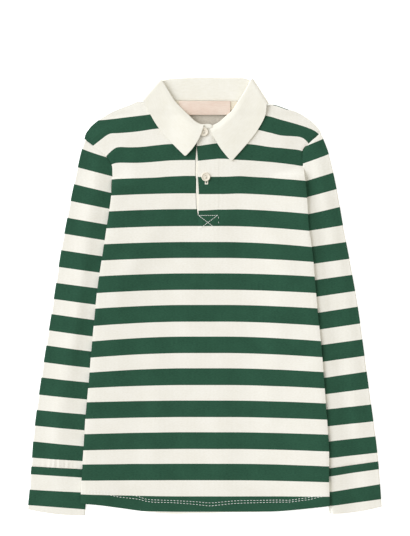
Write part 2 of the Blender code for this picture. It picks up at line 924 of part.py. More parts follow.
def make_cuff(side, collection):
    """One cuff, a flattened double band below the sleeve."""
    sign = SIGN[side]
    outer = curve_through(plan_points(CUFF_OUTER[side], sign))
    inner = curve_through(plan_points(CUFF_INNER[side], sign))
    sections = []
    for ring in range(CUFF_RINGS + 1):
        down = ring / CUFF_RINGS
        at = path_across(along(inner, down), along(outer, down), None, 0.0, CUFF_BOW * down**2)
        sections.append(tube_section(at, SLEEVE_EDGE, CUFF_WALL, cuff_top(down)))
    lofted_piece("cuff_" + side, sections, True, "off_white", collection)


Station = namedtuple("Station", "roll seam edge rolled_out tilt bow")
FRONT_STATIONS = 9
BACK_STATIONS = 9
CORNER_STEPS = 6
# Parts of a leaf's length: how far apart the points that give the roll's direction are,
# where that direction starts turning to the corner's, and where the edge's bow ends.
ROLL_PROBE = 0.03
CORNER_TURN = 0.6
BOW_END = 0.45
# Part of the back's length over which the roll's direction leaves the corner's.
BACK_TURN = 0.15


def front_stations(side):
    """Collar stations of one leaf, from the centre front to the shoulder corner."""
    half = HALVES[side]
    stations = []
    for k in range(FRONT_STATIONS + 1):
        f = k / FRONT_STATIONS
        roll = along(half.roll, f)
        ahead = along(half.roll, min(f + ROLL_PROBE, 1.0))
        tangent = ahead - along(half.roll, max(f - ROLL_PROBE, 0.0))
        out = Vector((tangent.y, -tangent.x)).normalized()
        if out.y < 0.0:
            out = -out
        turned = smooth((f - CORNER_TURN) / (1.0 - CORNER_TURN))
        out = out.lerp(-half.corner.down, turned).normalized()
        bow = LEAF_BOW[side] * (1.0 - smooth(f / BOW_END))
        stations.append(Station(roll, along(half.stand, f), along(half.leaf, f), out, 0.0, bow))
    return stations


def corner_stations(side):
    """Collar stations round one shoulder corner, without its two ends."""
    corner = HALVES[side].corner
    angles = [180.0 * k / CORNER_STEPS for k in range(1, CORNER_STEPS)]
    return [
        Station(corner.top, corner.seam, corner.end, -corner.down, angle, 0.0)
        for angle in angles
    ]


def back_stations():
    """Collar stations across the back, from the right corner to the left one."""
    roll = curve_through(plan_points(BACK_ROLL))
    edge = curve_through(plan_points(BACK_EDGE))
    stations = []
    for k in range(BACK_STATIONS + 1):
        f = k / BACK_STATIONS
        nearest = HALVES["right" if f < 0.5 else "left"].corner
        towards = smooth(min(f, 1.0 - f) / BACK_TURN)
        out = (-nearest.down).lerp(Vector((0.0, 1.0)), towards).normalized()
        seam = along(BACK_SEAM_CURVE, f)
        stations.append(Station(along(roll, f), seam, along(edge, f), out, 180.0, 0.0))
    return stations


LAYER_MIDDLE = CLOTH / 2 + STAND_HALF + PLY
FALL_STEPS = (0.12, 0.3, 0.55, 0.8, 1.0)
STAND_STEPS = (1.0, 0.5)
HAIRPIN_STEPS = (-90.0, -45.0, 0.0, 45.0, 90.0)


def placket_rise(x, distance):
    """How far a leaf is raised where it lies on the placket."""
    from_right = smooth((x - SLIT_RIGHT + LEAF_CLIMB_START) / LEAF_CLIMB)
    from_left = smooth((SLIT_LEFT + LEAF_CLIMB_START - x) / LEAF_CLIMB)
    return LEAF_OVER_PLACKET * from_right * from_left * smooth(distance / LEAF_ROLL_CLIMB)


def button_lift(place, side_sign):
    """How far the wearer's right leaf is raised over the top button."""
    if side_sign > 0.0:
        return 0.0
    clear = (place - Vector(BUTTONS["button_neck"])).length - BUTTON_DIAMETER / 2
    return BUTTON_LIFT * (1.0 - smooth(clear / BUTTON_LIFT_REACH))


def collar_section(station, side_sign):
    """Closed outline of the collar at one station, from the stand round to the leaf."""
    tilt = math.radians(station.tilt)
    corner_out = HALVES["right" if side_sign < 0.0 else "left"].corner.out
    facing = Vector((corner_out.x * math.sin(tilt), corner_out.y * math.sin(tilt), math.cos(tilt)))
    rolled = Vector((station.rolled_out.x, station.rolled_out.y, 0.0))
    fronting = max(math.cos(tilt), 0.0)
    centres = []
    for t in STAND_STEPS:
        place = station.roll.lerp(station.seam, t)
        centres.append((place, facing * STAND_HALF, -facing, 0.0))
    for degrees in HAIRPIN_STEPS:
        angle = math.radians(degrees)
        radial = rolled * math.cos(angle) + facing * math.sin(angle)
        offset = facing * (STAND_HALF + ROLL_RADIUS) + radial * ROLL_RADIUS
        rise = button_lift(station.roll, side_sign) * (1.0 + math.sin(angle)) / 2 * fronting
        centres.append((station.roll, offset, radial, rise))
    fall = station.edge - station.roll
    sideways = Vector((-fall.y, fall.x)).normalized() * side_sign * -1.0
    for t in FALL_STEPS:
        place = station.roll + fall * t + sideways * (station.bow * 4.0 * t * (1.0 - t))
        rise = placket_rise(place.x, fall.length * t) + button_lift(place, side_sign)
        centres.append((place, facing * (STAND_HALF + PLY), facing, rise * fronting))
    outside, inside = [], []
    for place, offset, normal, rise in centres:
        middle = Vector((place.x, place.y, LAYER_MIDDLE + rise)) + offset
        middle.z += neck_front_extra(place.y) * fronting
        outside.append(middle + normal * (CLOTH / 2))
        inside.append(middle - normal * (CLOTH / 2))
    return outside + inside[::-1]


def make_collar(collection):
    """The collar: one strip folded at the roll, round the neck from front to front."""
    right = [(s, -1.0) for s in front_stations("right") + corner_stations("right")]
    back = [(s, -1.0 if k <= BACK_STATIONS / 2 else 1.0) for k, s in enumerate(back_stations())]
    left = [(s, 1.0) for s in front_stations("left") + corner_stations("left")]
    stations = right + back + left[::-1]
    sections = [collar_section(station, sign) for station, sign in stations]
    lofted_piece("collar", sections, False, "cream", collection)


BAND_LENGTHS = 10


def band_rows(left_x, right_x, bottom, columns):
    """Rows of a placket band from its bottom to the curved end under the collar."""
    top = curve_through(plan_points(PLACKET_TOP), 4)
    starts = sorted({bottom, SLIT_BOTTOM + 2 * GAP, SLIT_BOTTOM + BAND_STEP_LENGTH})
    rows = []
    for k in range(len(starts) - 1 + BAND_LENGTHS):
        row = []
        for j in range(columns + 1):
            x = mix(left_x, right_x, j / columns)
            if k < len(starts):
                y = starts[k]
            else:
                done = (k - len(starts) + 1) / (BAND_LENGTHS - 1)
                y = mix(starts[-1], height_at(top, x), done)
            row.append(Vector((x, y)))
        rows.append(row)
    return rows


def band_floor(point):
    """The covering band lies on the other and steps down to the front at its seam."""
    step = smooth((point.x - BAND_STEP) / (SLIT_LEFT - GAP - BAND_STEP))
    clear = SLIT_BOTTOM + 2 * GAP
    step *= smooth((point.y - clear) / (SLIT_BOTTOM + BAND_STEP_LENGTH - clear))
    return front_floor(point) + (PLY + BAND_SPARE) * (1.0 - step)


def make_placket(collection):
    """The facing band in the slit, and the striped band over it."""
    facing = band_rows(SLIT_RIGHT + GAP, BAND_STEP - GAP, SLIT_BOTTOM + GAP, 6)
    sheet_piece("placket_facing", facing, front_floor, CLOTH, "cream", collection)
    cover = band_rows(BAND_EDGE, SLIT_LEFT - GAP, BAND_BOTTOM, 8)
    sheet_piece("placket_cover", cover, band_floor, CLOTH, "stripe_green", collection)


def make_neck_trims(collection):
    """The tape over the back neck seam, and the bare label on it."""
    top = [p - Vector((0.0, GAP)) for p in BACK_SEAM_CURVE]
    across, down = TAPE_CELLS
    rows = []
    for k in range(down + 1):
        row = []
        for j in range(across + 1):
            x = mix(-TAPE_HALF_LENGTH, TAPE_HALF_LENGTH, j / across)
            row.append(Vector((x, height_at(top, x) - TAPE_WIDTH * (1.0 - k / down))))
        rows.append(row)
    sheet_piece("neck_tape", rows, over_back, TRIM, "cream", collection)
    x0, y0, x1, y1 = LABEL_BOX
    across, down = LABEL_CELLS
    rows = []
    for k in range(down + 1):
        y = mix(y0, y1, k / down)
        rows.append([Vector((mix(x0, x1, j / across), y)) for j in range(across + 1)])

    def label_floor(point):
        return over_back(point) + TRIM + GAP

    sheet_piece("label", rows, label_floor, TRIM, "label_pink", collection)


def make_button(name, place, collection, cutters):
    """A turned two-hole button with a raised rim."""
    radius = BUTTON_DIAMETER / 2
    dish = radius - BUTTON_RIM_WIDTH
    top = BUTTON_THICKNESS
    profile = (
        (0.0, top - BUTTON_RIM),
        (dish - BUTTON_CHAMFER, top - BUTTON_RIM),
        (dish, top),
        (radius - BUTTON_CHAMFER, top),
        (radius, top - BUTTON_CHAMFER),
        (radius, BUTTON_CHAMFER),
        (radius - BUTTON_UNDERCUT, 0.0),
        (0.0, 0.0),
    )
    bm = bmesh.new()
    ring = [bm.verts.new((r, 0.0, z)) for r, z in profile]
    for a, b in zip(ring, ring[1:]):
        bm.edges.new((a, b))
    bmesh.ops.spin(
        bm, geom=bm.verts[:] + bm.edges[:], cent=(0.0, 0.0, 0.0), axis=(0.0, 0.0, 1.0),
        angle=math.tau, steps=BUTTON_SIDES, use_merge=True, use_duplicate=False,
    )
    bmesh.ops.remove_doubles(bm, verts=bm.verts, dist=0.001)
    centre = Vector(place)
    base = max(band_floor(centre + Vector((dx, dy))) for dx in (-5, 0, 5) for dy in (-5, 0, 5))
    base += CLOTH + GAP
    bmesh.ops.translate(bm, vec=(place[0], place[1], base), verts=bm.verts)
    made = finish(name, bm, "button_horn", collection)
    for hole, offset in (("upper", 0.5), ("lower", -0.5)):
        cutter_bm = bmesh.new()
        bmesh.ops.create_cone(
            cutter_bm, cap_ends=True, segments=12, radius1=BUTTON_HOLE / 2,
            radius2=BUTTON_HOLE / 2, depth=4 * BUTTON_THICKNESS,
            matrix=Matrix.Rotation(math.radians(7.0), 4, "Z"),
        )
        at = (place[0], place[1] + offset * BUTTON_HOLE_SPACING, base + top / 2)
        bmesh.ops.translate(cutter_bm, vec=at, verts=cutter_bm.verts)
        cutter = finish(name + "_hole_" + hole, cutter_bm, "button_horn", cutters)
        cutter.hide_render = True
        cutter.display_type = "WIRE"
        cut = made.modifiers.new("hole_" + hole, "BOOLEAN")
        cut.object = cutter
        cut.operation = "DIFFERENCE"


def new_collection(name):
    made = bpy.data.collections.new(name)
    bpy.context.scene.collection.children.link(made)
    return made


def main():
    for old in list(bpy.data.objects):
        bpy.data.objects.remove(old, do_unlink=True)
    shirt = new_collection("polo_shirt")
    cutters = new_collection("cutters")
    make_front(shirt)
    make_back(shirt)
    for side in ("right", "left"):
        make_sleeve(side, shirt)
        make_cuff(side, shirt)
    make_collar(shirt)
    make_placket(shirt)
    make_neck_trims(shirt)
    for name, place in BUTTONS.items():
        make_button(name, place, shirt, cutters)


main()
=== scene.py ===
"""A child's striped long-sleeved polo shirt, laid flat and seen from straight above.

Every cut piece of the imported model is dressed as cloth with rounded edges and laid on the
one below it. Then come the sewing of the hem, the placket's box and its buttonhole, and the
two buttons, which are fastened.
Tables are in millimetres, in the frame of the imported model: +X is the wearer's left, +Y
runs from the hem to the collar, +Z is up, and the back panel rests on z = 0.
"""
import math

import bmesh
import bpy
import numpy as np
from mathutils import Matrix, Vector


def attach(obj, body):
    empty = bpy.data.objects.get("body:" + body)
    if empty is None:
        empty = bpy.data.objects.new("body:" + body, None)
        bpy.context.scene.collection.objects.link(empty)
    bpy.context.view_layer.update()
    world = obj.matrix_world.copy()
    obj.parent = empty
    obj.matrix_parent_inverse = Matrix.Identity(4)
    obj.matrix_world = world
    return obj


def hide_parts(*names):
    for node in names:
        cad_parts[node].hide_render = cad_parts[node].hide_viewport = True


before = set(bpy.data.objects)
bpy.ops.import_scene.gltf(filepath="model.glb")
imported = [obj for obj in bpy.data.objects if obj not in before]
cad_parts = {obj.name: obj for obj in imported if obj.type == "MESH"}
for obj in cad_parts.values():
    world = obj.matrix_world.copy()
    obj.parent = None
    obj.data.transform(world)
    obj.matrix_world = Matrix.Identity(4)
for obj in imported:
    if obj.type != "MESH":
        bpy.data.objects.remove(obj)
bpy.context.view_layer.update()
bpy.ops.object.select_all(action="DESELECT")

MM = 0.001
SIDES = ("right", "left")
SIGN = {"right": -1.0, "left": 1.0}

# Cloth thicknesses, the gap between plies, and how far cut edges are rounded.
CLOTH = 1.2
CUFF_WALL = 1.35
TRIM = 1.0
LABEL_WALL = 0.7
GAP = 0.3
PLY = CLOTH + GAP
EDGE_ROUNDING = 0.4
LABEL_ROUNDING = 0.2

# A sleeve's folded edges are SLEEVE_EDGE thick. The torso's side lies on the inner fold,
# held a little clear of it by its own stiffness. Past a ledge over the fold the back comes
# down to the table over SIDE_SLOPE, and the front to its own level over SIDE_REACH.
SLEEVE_EDGE = 3.0
SIDE_CLEARANCE = {"right": 2.0, "left": 3.2}
SIDE_LIFT = {side: SLEEVE_EDGE + GAP + SIDE_CLEARANCE[side] for side in SIDES}
SIDE_LEDGE = 2.0
SIDE_SLOPE = 70.0
SIDE_REACH = 95.0
# The raised sides end at the underarm, and the front's rise towards them at CHEST_TOP.
UNDERARM_Y = {"right": 152.5, "left": 165.0}
UNDERARM_RISE = 14.0
CHEST_TOP, CHEST_FADE = 165.0, 60.0

# Heights of the front's underside: on the chest, and round the neck.
FRONT_LEVEL = 3.9
NECK_LEVEL = 4.6
NECK_SPREAD = 60.0
# How far from its edges it comes down onto the back, and what is left of its level at the
# armhole's seam.
SEAM_EASE = 30.0
SHOULDER_EASE = 22.0
HEM_EASE = 40.0
ARMHOLE_SHARE = 0.35
# Sewn edges are pulled down further: depth, and distance from the seam.
SEAM_PULL = (0.3, 4.0)
HEM_PULL = (0.3, 5.0)
ARMHOLE_PULL = (0.5, 3.0)

# At the neck the body climbs one ply, onto the collar's fall that is folded under it.
COLLAR_STEP_START = 226.0
COLLAR_STEP_LENGTH = 11.0
STEP_SPARE = 0.12
# The collar: half the room inside its fold, its roll, and its gaps to the body.
STAND_HALF = 1.55
ROLL_RADIUS = PLY / 2
NECK_GAP = 0.5
BACK_NECK_GAP = 0.85
# Its leaves climb onto the placket: how high, from how far, and over what distance.
LEAF_OVER_PLACKET = 1.75
LEAF_CLIMB_START, LEAF_CLIMB = 44.0, 42.0
LEAF_CLIMB_REACH = 5.5

# The placket: the front's slit, the covering band's left edge and foot, and the facing.
SLIT = {"right": -11.3, "left": 16.9}
SLIT_BOTTOM = 103.0
BAND_EDGE = -8.4
BAND_BOTTOM = 84.5
BAND_STEP_LENGTH = 5.0
BAND_SPARE = 0.15
FACING_RIGHT = 4.5
# Beside it the front's button side is raised: from its foot, to its top, and sideways.
LOFT_FOOT, LOFT_FOOT_EASE = 58.0, 44.0
LOFT_TOP, LOFT_TOP_EASE = 165.0, 40.0
LOFT_REACH = 80.0

BUTTONS = {"button_neck": (-1.6, 207.3), "button_placket": (1.0, 151.2)}
BUTTON_RADIUS = 5.5
# The wearer's right leaf is raised over the top button.
BUTTON_LIFT = 2.6
BUTTON_LIFT_REACH = 42.0
LABEL_BOX = (-32.4, 228.9, 31.8, 246.2)
TAPE_WIDTH = 12.4
TAPE_HALF_LENGTH = 60.0
# A panel's rows of cells follow the hem's curve, and are level from HEM_FADE above it.
HEM_Y = -258.0
HEM_FADE = 90.0
# Where a half of a panel is narrower than this, the columns near its edges draw together.
HALF_WIDTH = 110.0

# Outlines: distances from the centre line, and heights.
SIDE_SEAM = {
    "right": ((155.5, -258), (153.9, -225), (151.5, -185), (148.9, -145), (145.1, -105),
              (142.0, -67), (138.2, -27), (134.3, 12), (128.3, 52), (122.5, 90),
              (117.0, 129), (116.5, 152.5)),
    "left": ((155.6, -258), (154.8, -225), (154.6, -185), (151.7, -145), (148.8, -105),
             (145.8, -67), (141.7, -27), (138.0, 12), (134.7, 52), (129.5, 90),
             (127.0, 129), (124.4, 152.5), (123.1, 165)),
}
ARMHOLE = {
    "right": ((116.5, 152.5), (116.2, 164.6), (122.2, 175.6), (130.8, 183.6), (139.6, 190.4),
              (150.9, 198.4)),
    "left": ((123.1, 165), (121.6, 174), (121.2, 182), (123.8, 188), (130.2, 193.8),
             (145.0, 207.5)),
}
SHOULDER = {
    "right": ((150.9, 198.4), (149.2, 205.2), (144.0, 212.8), (139.0, 217.9), (132.6, 222.9),
              (116.3, 232.5), (92.5, 241.9), (84.0, 245.4)),
    "left": ((145.0, 207.5), (141.6, 212.5), (136.8, 217.5), (129.5, 223.8), (115.2, 232.2),
             (103.5, 235.9), (86.5, 241.6)),
}
HEM = ((-155.5, -256.5), (-131.3, -258.8), (-106.3, -262.5), (-81.3, -266.3),
       (-46.0, -269.9), (0.0, -269.1), (36.0, -268.0), (62.0, -267.8), (93.8, -266.7),
       (131.3, -262.5), (155.6, -259.5))
SLEEVE_OUTER = {
    "right": ((150.9, 198.4), (154.9, 185), (159.6, 163.8), (166.9, 129.4), (173.0, 97.5),
              (180.0, 60), (191.5, -15), (203.4, -90), (213.8, -165), (217.4, -210.6)),
    "left": ((145.0, 207.5), (149.4, 197.5), (155.7, 178.8), (165.3, 134.8), (172.8, 90.6),
             (180.8, 48.5), (191.5, -12.4), (202.6, -94), (213.6, -174.8), (216.9, -204.3)),
}
SLEEVE_FOLD = {
    "right": ((117.0, 152.5), (117.9, 138), (116.4, 118), (115.4, 97.5), (120.5, 52),
              (126.5, 12), (134.6, -67), (142.0, -145), (146.9, -214.4)),
    "left": ((123.7, 165), (125.7, 150.5), (125.7, 131), (125.2, 107), (128.8, 65),
             (133.6, 12), (141.0, -53), (147.6, -130), (152.4, -213.2)),
}
CUFF_OUTER = {
    "right": ((217.5, -210.9), (219.6, -240), (222.1, -264.2)),
    "left": ((216.9, -204.6), (219.2, -233.6), (221.1, -261)),
}
CUFF_INNER = {
    "right": ((146.9, -214.7), (148.0, -240), (150.2, -271.9)),
    "left": ((152.4, -213.5), (153.4, -240), (155.1, -269.9)),
}
CUFF_BOW = 2.2
COLLAR_ROLL = {
    "right": ((1.6, 215.2), (7.2, 216.6), (13.4, 220.2), (21.2, 227.8), (31.1, 237.4),
              (39.2, 246.5), (46.6, 258.4), (54.4, 271.2)),
    "left": ((5.9, 212.2), (10.9, 215), (17.4, 218.2), (26.9, 226.4), (33.4, 232),
             (43.0, 245.8), (50.8, 258), (57.6, 271.6)),
}
STAND_SEAM = {
    "right": ((5.3, 210.1), (11.3, 210.6), (25.0, 213.8), (40.0, 219.8), (54.0, 228.5),
              (64.0, 239), (71.8, 251.0)),
    "left": ((8.6, 208.4), (16.9, 210.9), (29.5, 215.6), (43.5, 221.8), (57.0, 229.6),
             (66.6, 237.4), (73.1, 247.1)),
}
LEAF_EDGE = {
    "right": ((24.3, 176.2), (41.0, 193.1), (57.2, 211.4), (68.3, 229.2), (76.2, 245.9)),
    "left": ((33.0, 170.4), (52.9, 193.1), (65.7, 209.8), (75.0, 227.4), (77.0, 241.2)),
}
LEAF_BOW = {"right": 3.2, "left": 2.6}
# Distance from a leaf's tip at which its rounded corner starts.
LEAF_TIP = {"right": 3.2, "left": 1.6}
BACK_ROLL = ((-54.4, 271.2), (-44, 273.1), (-6, 274.8), (22, 274.3), (48, 274.1), (57.6, 271.6))
BACK_SEAM = ((-71.8, 251.0), (-55.5, 248.4), (-30, 247.1), (0, 246.9), (35, 246.4),
             (58, 245.8), (73.1, 247.1))
BACK_EDGE = ((-76.2, 245.9), (-58, 241), (0, 239.4), (60, 238), (77.0, 241.2))
# Upper end of the placket: its bands run up between the two ends of the stand, where
# the stand's button tab lies across them.
PLACKET_TOP = ((-11.0, 210), (-7.0, 211.0), (-5.0, 215.8), (-2.4, 217.0), (2.0, 217.2),
               (6.4, 217.0), (8.8, 215.8), (10.6, 211.0), (18.0, 210.2))
TAB_START = 211.6
TAB_LIFT = 1.4
# The bands bulge up a little between the leaves: middle, reach and height. Above it they
# are pressed down a little under the leaves.
NECK_BULGE = (6.0, 201.0, 7.0, 9.0, 1.3)
LEAVES_START = 208.0
UNDER_LEAVES = 0.8
# The facing shows between the front's slit and the covering band's edge.
SLIT_LINE = ((216, -11.3), (190, -11.1), (172.5, -12.2), (153.8, -12.3), (149, -11.4),
             (132.5, -11.6), (116, -11.1), (110, -10.3), (103, -9.2))
COVER_LINE = ((216, -10.3), (190, -10.3), (172.5, -8.8), (160, -9.5), (150, -8.8),
              (132.5, -7.6), (116, -8.6), (106, -7.9), (103, -8.6), (84, -8.4))

# Soft folds of the front: middle, direction in degrees, half sizes and height.
FRONT_FOLDS = (
    (-62, -150, 88, 110, 16, 1.1),
    (20, -185, 94, 80, 18, 0.9),
    (84, -95, 84, 120, 15, 1.0),
    (-78, 62, 58, 70, 14, 1.2),
    (88, 66, 118, 66, 14, 1.1),
    (-18, -20, 92, 90, 20, 0.8),
)
# Soft folds along the sleeves: part down, part across, their half sizes, and height.
SLEEVE_FOLDS = (
    (0.16, 0.62, 0.16, 0.16, 0.9),
    (0.48, 0.45, 0.24, 0.14, 0.8),
    (0.80, 0.60, 0.18, 0.15, 0.7),
)
# Small tucks above each cuff seam: part across the sleeve, half width and depth.
TUCKS = (
    (0.16, 0.012, 0.35), (0.24, 0.016, 0.5), (0.31, 0.012, 0.4), (0.40, 0.02, 0.55),
    (0.47, 0.012, 0.35), (0.55, 0.018, 0.5), (0.64, 0.012, 0.3), (0.73, 0.016, 0.4),
    (0.84, 0.014, 0.3),
)
# The wearer's right sleeve is gathered deeper than the left.
TUCK_DEPTH = {"right": 3.0, "left": 1.0}

# Stripes are 20 mm wide in the cloth, and at least 4 mm where it bends over the shoulder.
# BODY_EDGES holds the heights of their edges at the centre front. FIRST_BODY_EDGE numbers
# the first of them, and edge 0 is the top of the green stripe under the collar.
STRIPE = 20.0
NARROWEST_STRIPE = 4.0
# The stripes droop from this distance from the centre line on, along a curve of this power.
DROOP_START, DROOP_BEND = 25.0, 1.7
BODY_EDGES = (271.2, 251.2, 231.2, 211.2, 192.1, 172.3, 152.6, 130.7, 111.1, 89.8, 70.0,
              50.0, 30.8, 10.2, -8.6, -29.6, -48.1, -68.8, -87.7, -108.8, -128.0, -148.8,
              -167.6, -188.6, -206.9, -227.7, -248.0, -267.5, -287.5)
FIRST_BODY_EDGE = -2
# How much lower a stripe is at the torso's sides: height, right side, left side.
SIDE_DROOP = ((252, 8.3, 14.0), (231, 8.3, 13.1), (211, 5.9, 10.1), (191, 4.3, 7.4),
              (171, 4.5, 6.5), (151, 4.9, 6.0), (131, 2.8, 5.8), (111, 3.0, 5.9),
              (70, 2.8, 6.2), (30, 3.6, 3.8), (-10, 4.5, 4.2), (-49, 5.9, 5.5),
              (-89, 5.2, 4.5), (-129, 1.9, 3.2), (-169, 2.2, 2.6), (-209, 0.6, 3.0),
              (-228, 0.2, 2.0), (-249, -3.4, -0.5))
# The same for the stripe under the collar and the four edges below it, which bend down
# over the shoulders: at distances from the centre line.
DROP_AT = (25, 45, 60, 80, 95, 110, 118, 124, 130, 136, 142, 150)
SHOULDER_DROP = {
    "right": ((0, 0, 0.9, 3.3, 5.0, 6.8, 7.6, 8.3, 8.7, 9.0, 10.5, 13.0),
              (0, -0.5, -0.3, 2.6, 4.3, 5.3, 5.7, 8.6, 13.2, 17.8, 22.4, 28.5),
              (0, -0.2, 1.2, 3.4, 3.8, 3.8, 9.3, 15.5, 21.5, 27.5, 33.5, 40.0),
              (0, 0.6, 1.9, 3.3, 3.4, 3.4, 6.0, 12.0, 20.0, 28.0, 34.0, 40.0),
              (0, 0.8, 2.0, 2.8, 3.2, 3.8, 4.6, 6.0, 8.0, 10.0, 12.0, 14.0)),
    "left": ((0, 0, 0.9, 4.2, 8.5, 12.6, 15.0, 16.8, 19.0, 21.5, 25.6, 32.0),
             (0, -0.3, 0.2, 4.5, 8.2, 9.1, 9.8, 12.2, 18.7, 25.0, 31.0, 38.0),
             (0, -0.4, 0.3, 3.3, 4.6, 6.1, 7.1, 9.5, 15.0, 22.0, 29.0, 37.0),
             (0, 0, 0.8, 2.3, 3.8, 5.6, 6.9, 7.6, 9.0, 12.0, 15.0, 18.0),
             (0, 0.4, 1.3, 2.4, 3.7, 4.9, 5.6, 6.1, 6.8, 7.5, 8.2, 9.0)),
}
# How much lower each of the upper edges is beside the placket, on its left; and the
# covering band's own edges at its right end: height, beside the placket, on the band.
PLACKET_DROP = ((231, 0, 1.0), (211, 0, 2.4), (192, -1.6, 2.4), (172.3, -1.6, 0.9),
                (152.6, 1.2, 1.4), (132, 1.0, 0.9), (111.1, 0.6, 2.2), (90.8, 0, 0))
# Stripe edges down each sleeve at one distance from the centre line, and their slopes.
SLEEVE_X = 156.25
SLEEVE_EDGES = {
    "right": (212.5, 187.5, 162.5, 140.6, 118.8, 97.5, 77.1, 56.3, 35, 15, -5.8, -25, -46,
              -65, -86, -104.6, -126.2, -145, -165, -185, -203.8, -223.8),
    "left": (225, 202.8, 180.5, 155.4, 133.8, 110.9, 88.1, 67.2, 45.6, 25.1, 4, -16.1, -37.5,
             -57.2, -78.4, -98.6, -119.5, -138.6, -160, -178.9, -200, -220),
}
SLEEVE_SLOPES = {
    "right": ((187.5, 0.41), (162.5, 0.27), (140.6, 0.25), (97.5, 0.175), (56, 0.15),
              (15, 0.13), (-25, 0.14), (-65, 0.135), (-105, 0.106), (-145, 0.092),
              (-185, 0.094), (-204, 0.06)),
    "left": ((202.8, 0.45), (180.5, 0.41), (155, 0.32), (134, 0.28), (110, 0.24),
             (88, 0.16), (66, 0.135), (24, 0.14), (-17, 0.154), (-58, 0.134),
             (-100, 0.144), (-140, 0.10), (-180, 0.105), (-200, 0.11)),
}
CUFF_EDGES = {
    "right": (-204.5, -224.5, -243.0, -264.0, -283.8),
    "left": (-203.3, -223.0, -242.4, -259.9, -278.8),
}
CUFF_SLOPES = {
    "right": ((-214, 0.058), (-224, 0.067), (-243, 0.05), (-264, 0.083)),
    "left": ((-212, 0.14), (-223, 0.16), (-242, 0.143), (-260, 0.12)),
}


# ---------------------------------------------------------------------------
# Curves and heights

def ease(t):
    """From 0 to 1 with level ends."""
    t = np.clip(t, 0.0, 1.0)
    return t * t * (3.0 - 2.0 * t)


def fade(t):
    """From 1 to 0 with level ends."""
    return 1.0 - ease(t)


def mix(a, b, t):
    """From a to b."""
    return a + (b - a) * t


def unit(v):
    return v / np.linalg.norm(v, axis=-1, keepdims=True)


def plan(table, sign=1.0):
    """A table's plan points, mirrored for the wearer's right."""
    return np.array(table, float) * (sign, 1.0)


def curve_through(points, steps=10):
    """A smooth plan curve through the given points."""
    p = np.asarray(points, float)
    curve = [p[:1]]
    t = np.linspace(0.0, 1.0, steps + 1)[1:, None]
    for i in range(len(p) - 1):
        p0, p1, p2, p3 = p[max(i - 1, 0)], p[i], p[i + 1], p[min(i + 2, len(p) - 1)]
        span = np.linalg.norm(p2 - p1)
        before = max(np.linalg.norm(p1 - p0), span * 0.25)
        after = max(np.linalg.norm(p3 - p2), span * 0.25)
        start = (p2 - p0) * (span / (before + span))
        end = (p3 - p1) * (span / (after + span))
        curve.append(
            p1 * (2 * t**3 - 3 * t**2 + 1) + start * (t**3 - 2 * t**2 + t)
            + p2 * (3 * t**2 - 2 * t**3) + end * (t**3 - t**2)
        )
    return np.concatenate(curve)


def stepped(*stretches):
    """Parts of a length, in stretches given as start, end and number of points."""
    parts = [np.linspace(*stretch) for stretch in stretches]
    return np.concatenate(parts[:1] + [p[1:] for p in parts[1:]])


def along(curve, parts):
    """Points at parts of a curve's length."""
    lengths = np.linalg.norm(np.diff(curve, axis=0), axis=1)
    reached = np.concatenate([[0.0], np.cumsum(lengths)])
    reached = reached / reached[-1]
    return np.stack([np.interp(parts, reached, curve[:, k]) for k in range(curve.shape[1])], -1)


def distance(curve, x, y):
    """Distance of plan points from a curve."""
    best = np.full(np.shape(x), 1e9)
    for a, b in zip(curve, curve[1:]):
        span = b - a
        size = span @ span
        if size > 0.0:
            t = np.clip(((x - a[0]) * span[0] + (y - a[1]) * span[1]) / size, 0.0, 1.0)
            best = np.minimum(best, np.hypot(x - a[0] - span[0] * t, y - a[1] - span[1] * t))
    return best


def across_at(curve, y):
    """Distance from the centre line of a curve that runs along Y."""
    order = np.argsort(curve[:, 1])
    return np.interp(y, curve[order, 1], np.abs(curve[order, 0]))


def in_table(table, column, value):
    """Look a value up in the first column of a table, and read another column."""
    rows = np.array(table, float)
    rows = rows[np.argsort(rows[:, 0])]
    return np.interp(value, rows[:, 0], rows[:, column])


class Half:
    """Plan curves of one half of the torso and its collar corner."""

    def __init__(self, side):
        sign = SIGN[side]
        self.side, self.sign = side, sign
        self.top = plan(COLLAR_ROLL[side], sign)[-1]
        self.stand_end = plan(STAND_SEAM[side], sign)[-1]
        self.leaf_end = plan(LEAF_EDGE[side], sign)[-1]
        self.down = unit(self.leaf_end - self.top)
        self.out = np.array([self.down[1], -self.down[0]]) * -sign
        self.neck_point = self.stand_end + self.down * BACK_NECK_GAP
        self.crease_exit = self.leaf_end + self.down * NECK_GAP
        self.seam = curve_through(plan(SIDE_SEAM[side], sign))
        self.armhole = curve_through(plan(ARMHOLE[side], sign))
        leaving = np.concatenate([plan(SHOULDER[side], sign), [self.crease_exit]])
        self.shoulder = curve_through(leaving)
        fold = SLEEVE_FOLD[side] + CUFF_INNER[side][1:]
        self.fold = curve_through(plan(fold, sign))
        self.roll = curve_through(plan(COLLAR_ROLL[side], sign))
        self.stand = curve_through(plan(STAND_SEAM[side], sign))
        self.leaf = curve_through(plan(LEAF_EDGE[side], sign))
        parts = np.linspace(0.0, 1.0, 61)
        stand = along(self.stand, parts)
        line = stand + unit(stand - along(self.roll, parts)) * NECK_GAP
        beyond = line[np.abs(line[:, 0]) > abs(SLIT[side]) + 0.5]
        start_y = np.interp(abs(SLIT[side]), np.abs(line[:, 0]), line[:, 1])
        self.neckline = np.concatenate([[[SLIT[side], start_y]], beyond])


HALVES = {side: Half(side) for side in SIDES}
HEM_CURVE = curve_through(plan(HEM))
BACK_SEAM_CURVE = curve_through(plan(BACK_SEAM))
CENTRE = (SLIT["right"] + SLIT["left"]) / 2


def by_side(x, work):
    """Work something out for each half, and take each point's own."""
    return np.where(x < CENTRE, work(HALVES["right"]), work(HALVES["left"]))


def from_line(line_of, x, y):
    """Distance of each plan point from a line of its own half."""
    return by_side(x, lambda half: distance(line_of(half), x, y))


